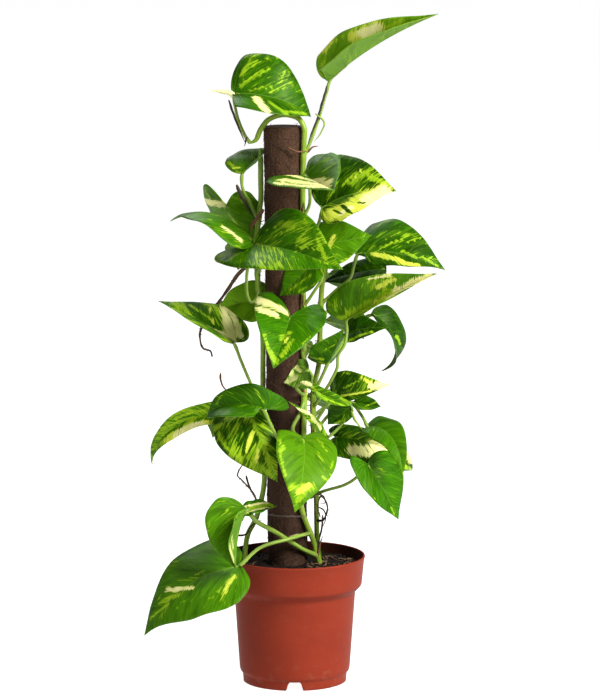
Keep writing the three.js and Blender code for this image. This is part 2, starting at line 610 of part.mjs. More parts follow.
// A leaf is its petiole, from the stem to under the start of the midrib, and its blade
function leafPetiole(leaf, frame) {
  const sink = bladeThickness / 2 + petioleRadius * petioleSink;
  const middle = leaf.petiole.map((place) => clearOfPole(point(place), petioleRadius + touchGap));
  const under = petioleRun.map((along) => {
    const { place, normal } = midribAt(frame, along);
    return place.addScaledVector(normal, -sink);
  });
  const { curve } = stems[leaf.vine];
  const start = leaf.joint === 'end' ? curve.getPoint(1) : placeAtHeight(curve, leaf.joint);
  const path = smoothPath([start, ...middle, ...under]);
  return tube(path, petioleRadius, petioleSides, tubeStep.petiole);
}

function leafSolid(leaf) {
  const frame = bladeFrame(leaf);
  let solid = blade(leaf, frame).add(leafPetiole(leaf, frame));
  if (leaf.name === youngLeaf.on) {
    const young = { ...youngLeaf, phase: 0 };
    solid = solid.add(blade(young, bladeFrame(young)));
  }
  if (leaf.name === youngSheath.on) {
    const path = smoothPath(youngSheath.path.map(point));
    solid = solid.add(tube(path, petioleRadius, petioleSides, tubeStep.root));
  }
  return largestPiece(solid.subtract(stems[leaf.vine].clearance));
}

function rootSolid(root) {
  const start = placeAtHeight(stems[root.vine].curve, root.joint);
  const path = smoothPath([start, ...root.path.map(point)]);
  const whole = tube(path, root.radius ?? rootRadius, petioleSides, tubeStep.root);
  return largestPiece(whole.subtract(stems[root.vine].clearance));
}

// A band is the outline drawn tight round the pole and the stems beside it
function bandSolid(band) {
  const held = Object.values(stems).map(({ curve }) => placeAtHeight(curve, band.height));
  const rounds = [{ x: poleCentre(band.height), y: 0, radius: poleRadius + fibreRelief }];
  for (const { x, y } of held) {
    const nearPole = Math.hypot(x - rounds[0].x, y) < poleRadius + 3 * vineRadius;
    if (nearPole) rounds.push({ x, y, radius: vineRadius });
  }
  const outline = (grow) => Array.from({ length: bandSides }, (_, order) => {
    const angle = order / bandSides * Math.PI * 2;
    const [dx, dy] = [Math.cos(angle), Math.sin(angle)];
    const reach = ({ x, y, radius }) => x * dx + y * dy + radius;
    const furthest = rounds.reduce((best, round) => (reach(round) > reach(best) ? round : best));
    const out = furthest.radius + grow;
    return new THREE.Vector2(furthest.x + out * dx, furthest.y + out * dy);
  });
  const ring = new THREE.Shape(outline(bandClearance + bandThickness));
  ring.holes.push(new THREE.Path(outline(bandClearance).reverse()));
  const flat = new THREE.ExtrudeGeometry(ring, { depth: bandHeight, bevelEnabled: false });
  return solidOf(flat.translate(0, 0, band.height - bandHeight / 2));
}

addPiece('pot', potSolid(), 'pot');
addPiece('soil', soilSolid(), 'soil');
addPiece('pole', poleSolid(0, fibreRelief), 'pole');
for (const [name, stem] of Object.entries(stems)) {
  addPiece(`vine_${name}`, tube(stem.curve, vineRadius, stemSides, tubeStep.stem), 'vine');
}
leaves.forEach((leaf, order) => {
  addPiece(leaf.name, leafSolid({ ...leaf, phase: order * marginWave.leafLag }), 'leaf');
});
for (const root of roots) addPiece(root.name, rootSolid(root), 'root');
for (const band of bands) addPiece(band.name, bandSolid(band), 'band');

export default plant;
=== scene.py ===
import math
import random

import bpy
import numpy as np
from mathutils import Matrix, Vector


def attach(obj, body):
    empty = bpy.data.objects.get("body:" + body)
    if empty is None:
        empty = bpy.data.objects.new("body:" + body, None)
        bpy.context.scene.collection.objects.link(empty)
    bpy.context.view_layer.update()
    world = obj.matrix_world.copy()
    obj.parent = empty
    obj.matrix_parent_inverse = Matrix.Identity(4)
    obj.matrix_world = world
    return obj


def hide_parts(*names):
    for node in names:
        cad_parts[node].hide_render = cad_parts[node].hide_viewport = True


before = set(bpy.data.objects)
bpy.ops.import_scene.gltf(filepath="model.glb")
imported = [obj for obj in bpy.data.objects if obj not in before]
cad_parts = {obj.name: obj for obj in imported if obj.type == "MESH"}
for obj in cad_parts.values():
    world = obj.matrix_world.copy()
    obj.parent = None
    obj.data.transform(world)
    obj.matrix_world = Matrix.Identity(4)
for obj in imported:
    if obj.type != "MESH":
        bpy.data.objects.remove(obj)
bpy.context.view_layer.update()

# A potted golden pothos on a coir pole. Lengths are millimetres until a mesh is made.
millimetre = 0.001


# Shaders: arithmetic on sockets
class Socket:
    # wraps an output, so that mask * 0.5 + 1 adds its Math nodes
    def __init__(self, shader, link):
        self.shader = shader
        self.link = link

    def math(self, operation, first, second=0.0):
        return self.shader.add("Math", {"operation": operation}, {0: first, 1: second})

    def __add__(self, other):
        return self.math("ADD", self, other)

    def __radd__(self, other):
        return self.math("ADD", other, self)

    def __sub__(self, other):
        return self.math("SUBTRACT", self, other)

    def __rsub__(self, other):
        return self.math("SUBTRACT", other, self)

    def __mul__(self, other):
        return self.math("MULTIPLY", self, other)

    def __rmul__(self, other):
        return self.math("MULTIPLY", other, self)

    def __truediv__(self, other):
        return self.math("DIVIDE", self, other)

    def __rtruediv__(self, other):
        return self.math("DIVIDE", other, self)

    def __abs__(self):
        return self.math("ABSOLUTE", self)

    def fraction(self):
        return self.math("FRACT", self)

    def most(self, other):
        return self.math("MAXIMUM", self, other)

    def between(self, low, high):
        # 0 below low, 1 above high, smooth from one to the other
        return self.shader.add("MapRange", {"interpolation_type": "SMOOTHSTEP"}, {0: self, 1: low, 2: high})


class Shader:
    def __init__(self, name):
        self.material = bpy.data.materials.new(name)
        self.material.use_nodes = True
        self.tree = self.material.node_tree
        self.tree.nodes.clear()

    def add(self, kind, settings=None, sockets=None, output=0):
        node = self.tree.nodes.new("ShaderNode" + kind)
        for key, value in (settings or {}).items():
            if key == "stops":
                ramp = node.color_ramp.elements
                for place, colour in value[2:]:
                    ramp.new(place)
                for element, (place, colour) in zip(ramp, value):
                    element.position = place
                    element.color = colour
            else:
                setattr(node, key, value)
        for key, value in (sockets or {}).items():
            if isinstance(value, Socket):
                self.tree.links.new(value.link, node.inputs[key])
            else:
                node.inputs[key].default_value = value
        return Socket(self, node.outputs[output]) if node.outputs else node

    def split(self, vector):
        parts = self.add("SeparateXYZ", {}, {0: vector})
        return [Socket(self, output) for output in parts.link.node.outputs]

    def attribute(self, name):
        # the three numbers that a mesh keeps under a name
        return self.split(self.add("Attribute", {"attribute_name": name}, output=1))

    def vector(self, x, y, z):
        return self.add("CombineXYZ", {}, {0: x, 1: y, 2: z})

    def place(self, x, y, z):
        # where a point is on the piece, in millimetres, stretched by a scale for each axis
        spot = self.add("TexCoord", output="Object")
        return self.add("VectorMath", {"operation": "MULTIPLY"}, {0: spot, 1: [s / millimetre for s in (x, y, z)]})

    def height(self):
        return self.split(self.add("TexCoord", output="Object"))[2] / millimetre

    def noise(self, vector, scale=1.0, detail=3.0, roughness=0.5, distortion=0.0):
        sockets = {"Vector": vector, "Scale": scale, "Detail": detail, "Roughness": roughness,
                   "Distortion": distortion}
        return self.add("TexNoise", {}, sockets)

    def cells(self, vector):
        return self.add("TexVoronoi", {}, {"Vector": vector, "Scale": 1.0})

    def mix(self, factor, first, second):
        # two colours mixed by a factor
        return self.add("Mix", {"data_type": "RGBA"}, {0: factor, 6: first, 7: second}, output=2)

    def layers(self, tints, colour, *others):
        # a colour with named tints over it, each by its own factor
        for factor, name in others:
            colour = self.mix(factor, colour, tints[name])
        return colour

    def bump(self, height, distance, strength):
        return self.add("Bump", {}, {"Height": height, "Distance": distance * millimetre, "Strength": strength})

    def surface(self, **sockets):
        # the surface itself: the keys are socket names with _ for a space
        named = {key.replace("_", " "): value for key, value in sockets.items()}
        skin = self.add("BsdfPrincipled", {}, named)
        self.add("OutputMaterial", {}, {0: skin})
        return self.material


def tint(red, green, blue):
    # a screen colour as the linear colour that shaders take
    def linear(part):
        part /= 255
        return part / 12.92 if part <= 0.04045 else ((part + 0.055) / 1.055) ** 2.4
    return (linear(red), linear(green), linear(blue), 1.0)


# Meshes
def addToScene(name, data):
    thing = bpy.data.objects.new(name, data)
    bpy.context.scene.collection.objects.link(thing)
    return thing


def makePiece(name, parts, materials, nodes, sharpAngle=None):
    # parts are (places, faces, material index, {attribute: values}) and become one object for the CAD nodes
    places = np.concatenate([part[0] for part in parts]) * millimetre
    faces, indices, start = [], [], 0
    for partPlaces, partFaces, material, _ in parts:
        faces += [[corner + start for corner in face] for face in partFaces]
        indices += [material] * len(partFaces)
        start += len(partPlaces)
    mesh = bpy.data.meshes.new(name)
    mesh.from_pydata(places.tolist(), [], faces)
    for material in materials:
        mesh.materials.append(material)
    mesh.polygons.foreach_set("material_index", indices)
    mesh.polygons.foreach_set("use_smooth", [True] * len(faces))
    for key in sorted({key for part in parts for key in part[3]}):
        values = [part[3].get(key, np.zeros((len(part[0]), 3))) for part in parts]
        kept = mesh.attributes.new(key, "FLOAT_VECTOR", "POINT")
        kept.data.foreach_set("vector", np.concatenate(values).astype(np.float32).ravel())
    if sharpAngle:
        mesh.set_sharp_from_angle(angle=math.radians(sharpAngle))
    mesh.update()
    piece = addToScene(name, mesh)
    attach(piece, "root")
    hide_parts(*nodes)


def smoothPath(points, step):
    # even steps along a centripetal Catmull-Rom curve
    points = np.array(points, float)
    ends = [2 * points[0] - points[1], *points, 2 * points[-1] - points[-2]]
    dense = []
    for a, b, c, d in zip(ends, ends[1:], ends[2:], ends[3:]):
        gaps = [max(np.linalg.norm(q - p), 1e-4) ** 0.5 for p, q in ((a, b), (b, c), (c, d))]
        leave = ((b - a) / gaps[0] - (c - a) / (gaps[0] + gaps[1]) + (c - b) / gaps[1]) * gaps[1]
        arrive = ((c - b) / gaps[1] - (d - b) / (gaps[1] + gaps[2]) + (d - c) / gaps[2]) * gaps[1]
        t = np.linspace(0, 1, 24, endpoint=False)[:, None]
        dense.append(b + leave * t + (3 * (c - b) - 2 * leave - arrive) * t**2
                     + (2 * (b - c) + leave + arrive) * t**3)
    dense = np.vstack([*dense, points[-1:]])
    run = np.concatenate([[0], np.cumsum(np.linalg.norm(np.diff(dense, axis=0), axis=1))])
    marks = np.linspace(0, run[-1], max(2, round(run[-1] / step)) + 1)
    return np.stack([np.interp(marks, run, dense[:, axis]) for axis in range(3)], 1)


def ringFaces(start, rings, sides, first, last):
    # quads between rings of corners, and a fan at each end
    faces = []
    for ring in range(rings - 1):
        low, high = start + ring * sides, start + (ring + 1) * sides
        for corner in range(sides):
            following = (corner + 1) % sides
            faces.append([low + corner, low + following, high + following, high + corner])
    top = start + (rings - 1) * sides
    for corner in range(sides):
        following = (corner + 1) % sides
        faces += [[first, start + following, start + corner], [last, top + corner, top + following]]
    return faces


def tube(material, path, radii, sides, seed, uneven=0.0):
    # a part that is a closed tube; its stemPlace keeps the distance along it and the way round
    count = len(path)
    radii = np.broadcast_to(radii, count)
    tangents = np.gradient(path, axis=0)
    tangents /= np.linalg.norm(tangents, axis=1)[:, None]
    helper = np.array([0.3, 0.5, 0.8])
    side = np.cross(tangents[0], helper)
    side /= np.linalg.norm(side)
    angles = np.arange(sides) * 2 * math.pi / sides
    run = np.concatenate([[0], np.cumsum(np.linalg.norm(np.diff(path, axis=0), axis=1))])
    places, stemPlace = [], []
    for index in range(count):
        side = side - side @ tangents[index] * tangents[index]
        side /= np.linalg.norm(side)
        up = np.cross(tangents[index], side)
        swell = 1 + uneven * np.sin(3 * angles + 0.21 * run[index] + seed) * math.sin(0.37 * run[index] + seed)
        ring = (np.cos(angles)[:, None] * side + np.sin(angles)[:, None] * up) * swell[:, None]
        places.append(path[index] + ring * radii[index])
        stemPlace.append(np.stack([np.full(sides, run[index] + 37 * seed), np.cos(angles), np.sin(angles)], 1))
    ends = [path[0] - tangents[0] * radii[0] * 0.4, path[-1] + tangents[-1] * radii[-1] * 0.4]
    stemPlace = np.vstack([*stemPlace, [[37 * seed, 0, 0], [run[-1] + 37 * seed, 0, 0]]])
    faces = ringFaces(0, count, sides, count * sides, count * sides + 1)
    return np.vstack([*places, ends]), faces, material, {"stemPlace": stemPlace}


def turned(profile, sides, shape):
    # a turned closed solid from (radius, height) pairs, the first and last on the axis
    angles = np.arange(sides) * 2 * math.pi / sides
    places = [[0, 0, profile[0][1]]]
    for radius, height in profile[1:-1]:
        places += [[radius * math.cos(angle), radius * math.sin(angle), height] for angle in angles]
    places.append([0, 0, profile[-1][1]])
    return shape(np.array(places, float)), ringFaces(1, len(profile) - 2, sides, 0, len(places) - 1)


def waviness(points, scale, seed):
    # smooth, repeatable noise from places alone, about -1 to 1
    draw = random.Random(seed)
    total = np.zeros(points.shape[:-1])
    for octave in range(3):
        for _ in range(4):
            way = np.array([draw.gauss(0, 1) for _ in range(points.shape[-1])])
            total += np.sin(points @ way * 2**octave / scale + draw.uniform(0, 6.3)) / 2**octave
    return total / 4


# Stems
stemPaths = {
    "right": [(27, -6, 106), (27, -5, 126), (22, -6, 144), (20, -8, 153), (7, -22, 194), (7, -23, 222),
              (9, -20, 254), (10, -17, 286), (10, -16, 329), (9, -15, 372), (9, -15, 415), (8, -15, 468),
              (8, -15, 521), (9, -14, 563), (10, -15, 584), (10, -15, 597), (4, -13, 607), (-11, -11, 611),
              (-27, -11, 606), (-36, -11, 595), (-41, -10, 584), (-47, -10, 581)],
    "left": [(-55, 9, 106), (-54, 10, 127), (-53, 12, 142), (-50, 10, 158), (-41, 4, 177), (-33, 3, 213),
             (-33, 1, 261), (-34, 1, 294), (-34, 1, 326), (-34, 1, 375), (-38, 1, 418), (-40, 3, 446),
             (-40, 3, 476), (-38, 3, 503), (-36, 3, 519), (-36, 3, 546), (-36, 3, 574)],
    "side": [(26, 23, 106), (26, 20, 129), (24, 14, 152), (23, 2, 203), (22, -2, 240), (20, -3, 275),
             (20, -2, 315), (26, 6, 345), (27, 8, 379), (28, 8, 411), (30, 10, 433), (35, 12, 452)],
    "back": [(-14, 42, 106), (-13, 40, 128), (-10, 34, 160), (-8, 27, 210), (-9, 25, 290), (-9, 25, 380),
             (-10, 25, 470), (-11, 25, 535)],
}

# Leaves, as in the CAD source. The joint is the height at which a leaf leaves its stem. Half widths, folds and lobes
# are given for either side of the midrib. Tone runs from dark to fresh and is partly painted light: leaves turned
# away from the lamps are given a higher tone. Fleck is how much lime it has.
leafFields = ("name", "vine", "joint", "petiole", "base", "tip", "face", "half", "fold", "arch", "lobe", "toneWithPaintedLight",
              "fleck")
leafRows = [
    ("top_left", "right", "end", [(-52, -10, 588), (-61, -9, 611)], (-64, -18, 633), (17, -5, 608),
     (0.16, -0.86, 0.48), (47, 35), (1, 38), 93, (0.6, -0.1), 0.45, 0.3),
    ("top_right", "right", 565, [(18, -12, 586), (26, -9, 609), (32, -4, 629)], (35.6, 0.7, 645.6),
     (148.5, -68, 720.4), (-0.49, -0.61, 0.63), (29.5, 35.3), (65, 62), 24, (0.35, 0), 1.7, 0.4),
    ("upper_left", "left", 497, [(-47, 3, 516), (-55, 2, 531)], (-56, 0, 547), (-24, 41, 572),
     (-0.22, -0.79, 0.57), (26, 23), (-3, 51), 18, (0.4, 0), 1.1, 0.15),
    ("upper_front", "right", 502, [(15, -20, 515), (16, -30.9, 531)], (14, -34, 546.7), (41, -118, 542.2),
     (-0.62, -0.57, 0.55), (36, 46), (-11, 51), 1, (2.1, 1.4), 0.95, 0.3),
    ("upper_right", "right", 470, [(18, -20, 483), (25, -23, 497)], (29, -27, 514), (106, -45, 534),
     (-0.06, -0.38, 0.92), (52, 28), (29, -23), 43, (0.7, 0.5), 0.15, 0.5),
    ("left_fold", "left", 456, [(-51, 16, 475), (-65, 30, 492)], (-72, 16, 512), (-42, 35, 469),
     (-0.6, -0.66, 0.46), (32, 35), (-15, -24), 34, (1, 2.3), 1.25, 0.3),
    ("left_long", "left", 424, [(-41, -4, 414), (-46, -7, 411), (-50, -8, 418), (-51, -10, 435), (-49, -13, 455)],
     (-44, -26, 477), (-132, 15, 495), (0.01, -0.22, 0.98), (44, 26), (6, -30), 92, (0.4, 0.2), 1, 0.3),
    ("centre_big", "left", 440, [(-35, -16, 453), (-38, -26, 466)], (-42, -31, 476), (50, -113, 460),
     (-0.02, -0.9, 0.43), (44, 42), (3, 26), 39, (0.4, 1.7), 0.6, 0.65),
    ("right_behind", "right", 436, [(16, -15, 453)], (25, -12, 471), (82, -15, 483), (0, -0.85, 0.5), (26, 24),
     (0, 0), 15, (1, 1), 1.1, 0.15),
    ("right_big", "side", 407, [(43, 2, 422), (59, -10, 438), (63, -16, 453)], (65, -21, 464), (158, -42, 450),
     (0.1, -0.7, 0.71), (43, 14), (2, -30), 64, (0.4, -0.3), 0.4, 0.4),
    ("centre_under", "right", 408, [(20, -22, 424), (29, -28, 441)], (21, -38, 458), (-16, -25, 420),
     (0, -0.93, 0.36), (23, 23), (29, -14), 1, (0.9, 0.7), 1, 0.4),
    ("right_far", "side", 394, [(50, 22, 408), (74, 24, 424), (92, 20, 438)], (97, 14, 444), (30, 30, 427),
     (0, -0.7, 0.7), (16, 16), (5, 5), 30, (0.3, 0.3), 0.15, 0.1),
    ("right_mid", "side", 297,
     [(31, -18, 316), (39, -27, 331), (45, -30, 345), (46, -31, 358), (53, -33, 370), (55, -29, 383)],
     (53, -24, 394), (148, -91, 453), (-0.3, -0.86, 0.42), (34, 16), (50, 50), 17, (0.6, -0.3), 1.15, 0.45),
    ("right_droop", "side", 364, [(48, 22, 374), (70, 20, 388)], (82, 11, 396), (93, 33, 331), (0.88, -0.4, 0.25),
     (20, 20), (20, 19), 126, (0.3, 0.1), 0.2, 0.1),
    ("right_shade", "side", 350, [(42, 12.9, 366)], (54, 8, 375), (98.2, -18, 385.2), (0.02, -0.85, 0.53),
     (15, 15), (20, 15), 49, (0.1, 0.2), 0.2, 0.1),
    ("left_variegated", "left", 303, [(-41, -5, 312), (-48, -9, 327), (-57, -16.9, 350)], (-63.9, -29, 371),
     (-144.3, -8, 412.5), (0.1, -0.84, 0.53), (45, 42), (61, -30), 31, (0.2, 0.8), 0.5, 0.7),
    ("left_back", "left", 395, [(-33, 16, 402), (-30, 27, 407)], (-31, 30, 408), (-82, 37, 396),
     (-0.13, -0.77, 0.62), (22, 22), (-14, 51), 48, (0.4, 0.6), 1.8, 0.1),
    ("centre_heart", "right", 359, [(8, -28, 376), (2, -37.9, 387)], (-5, -43, 399), (-22, -111, 356),
     (0.11, -0.81, 0.57), (38, 41), (19, 23), 38, (2.2, 1.7), 0.85, 0.1),
    ("right_small", "side", 309, [(24, -8, 321), (30, -9, 334)], (36, -8, 346), (51, -33, 386),
     (0.46, -0.78, 0.43), (26, 18), (-17, -30), 15, (0.6, 0.5), 0.6, 0.5),
    ("pale_left", "right", 324, [(17, -22, 329), (18, -27, 336)], (14, -34, 342), (-12, -22, 327),
     (0.81, -0.36, 0.45), (17, 16), (-14, 28), 18, (0.6, 0.5), 0.4, 0.5),
    ("pale_droop", "right", 312, [(6, -32, 318), (2, -50, 327)], (6, -60, 333), (61, -33, 307),
     (0.1, -0.99, -0.06), (7, 7), (13, 50), 114, (0.2, -0.9), 0.6, 0.8),
    ("right_yellow", "side", 279, [(29, -8, 293), (36, -11, 305)], (42, -12, 312), (101, -38, 328),
     (0.13, -0.99, 0.09), (24, 9), (-11, 40), 80, (0.8, 0.2), 0.3, 0.6),
    ("right_low_a", "side", 260, [(38, -9, 268), (54, -3, 284), (61, -5, 294)], (59.2, -10, 299.2),
     (34.9, -5, 279.2), (0.26, -0.92, 0.31), (10, 18), (10, 32), 22, (0.1, 0.3), 0.3, 0.3),
    ("right_low_b", "side", 268, [(35, -4, 288), (51, 2, 300)], (63, 0, 302), (92, 10, 296), (-0.01, -0.94, 0.34),
     (10, 10), (40, 40), 35, (0.2, 0.5), 0.3, 0.3),
    ("left_arched", "right", 228, [(-3, -36, 250), (-16, -46, 268), (-26, -55, 289)], (-32, -59, 305),
     (-92, -43, 292), (0.11, -0.7, 0.71), (34, 21), (32, 39), 113, (-0.5, 1.7), 0.55, 0.1),
    ("far_left", "left", 257, [(-42, 4, 272), (-50, 11.1, 284)], (-60.2, 11, 288.8), (-153.4, 28, 230),
     (-0.27, -0.7, 0.67), (13, 13), (-9, 60), 130, (0.1, 0.1), 0.9, 0.8),
    ("left_hanging", "left", 272, [(-35, -14, 288), (-41, -24, 296)], (-47, -25, 297), (-18, -48, 225),
     (0, -0.98, 0.18), (17, 44), (-15, -5), 83, (0.7, 1.3), 0.25, 0.75),
    ("front_heart", "right", 306, [(5, -27, 294), (-2, -36, 281), (2, -46.6, 273)], (9, -49.5, 270.7),
     (0, -104.5, 202.9), (0.28, -0.94, 0.2), (35, 33), (5, 10), 64, (1.3, 0.6), 1.25, 0),
    ("pale_edge", "side", 249, [(30, -6, 252), (33, -2.7, 258)], (33.2, -8, 258.1), (-8, -27, 308.6),
     (0.19, -0.81, 0.55), (5, 6), (30, 30), 73, (-0.1, 0.1), 0.6, 0.6),
    ("right_cream", "side", 236, [(31, 12.3, 250)], (44.1, 15, 262.4), (126, 39, 221), (-0.04, -0.87, 0.49),
     (15, 25), (45, 9), 130, (0.6, 0.3), 0.3, 0.3),
    ("right_dark", "side", 288, [(42, 18, 300), (61, 22, 297), (72, 7.8, 286)], (77.9, -10, 277), (113, -70, 233),
     (0.57, -0.69, 0.44), (16, 16), (48, -30), 100, (0.5, 0.4), 1, 0.15),
    ("right_front", "side", 203, [(32, -8, 208), (53, -22, 217), (65, -30, 226)], (77, -39, 242), (110, -35, 182),
     (0.21, -0.87, 0.44), (41, 25), (-23, 28), 31, (0.7, 1.3), 0.85, 0),
    ("low_left_upper", "right", 136, [(7, -22, 148), (-19, -42, 169), (-41, -67.5, 187)], (-50.9, -79, 202),
     (-61.6, -85, 138.6), (-0.75, -0.6, 0.29), (38, 38), (52, 71), 33, (-0.4, 0.6), 1.1, 0.45),
    ("low_left_big", "right", 163, [(6, -32, 164), (-7, -46, 163), (-37, -58.4, 156)], (-59.1, -69, 138.3),
     (-159.2, -65, 62.9), (-0.07, -0.21, 0.97), (50, 52), (-25, 16), 61, (0.6, 0.5), 1.05, 0.2),
]
backLeaves = [  # name, joint, petiole, base, tip, way it faces (-1 left, 1 right), half width, arch, lobe
    ("top", 508, [(-10, 38, 522), (-9, 42, 538)], (-9, 42, 548), (-12, 80, 514), 0, 17, 40, 0.8),
    ("upper_left", 450, [(-20, 40, 464), (-30, 52, 468)], (-34, 56, 464), (-62, 98, 432), -1, 34, 30, 1),
    ("upper_right", 410, [(10, 44, 424), (30, 55, 434)], (38, 58, 432), (72, 96, 400), 1, 34, 30, 1),
    ("middle_left", 370, [(-26, 42, 388), (-40, 50, 395)], (-47, 54, 393), (-89, 92, 363), -1, 34, 30, 1),
    ("middle_right", 354, [(11, 44, 372), (29, 52, 383)], (35, 56, 382), (75, 98, 356), 1, 34, 30, 1),
    ("centre", 322, [(-8, 46, 344), (-7, 62, 354)], (-6, 70, 352), (-8, 119.5, 314), 0, 26, 30, 1),
    ("low_left", 254, [(-28, 42, 276), (-44, 52, 286)], (-52, 56, 287), (-90, 98, 247), -1, 36, 30, 1),
    ("low_right", 264, [(4, 46, 282), (9, 56, 294)], (14, 60, 299), (54, 112, 265), 1, 36, 30, 1),
]
for name, joint, stalk, base, tip, way, half, arch, lobe in backLeaves:
    face = (0.3 * way, 0.6, 0.75 if way else 0.8)
    leafRows.append((f"back_{name}", "back", joint, stalk, base, tip, face, (half, half), (12, 12), arch,
                     (lobe, lobe), 0.5, 0.45))
leaves = [dict(zip(leafFields, row)) for row in leafRows]

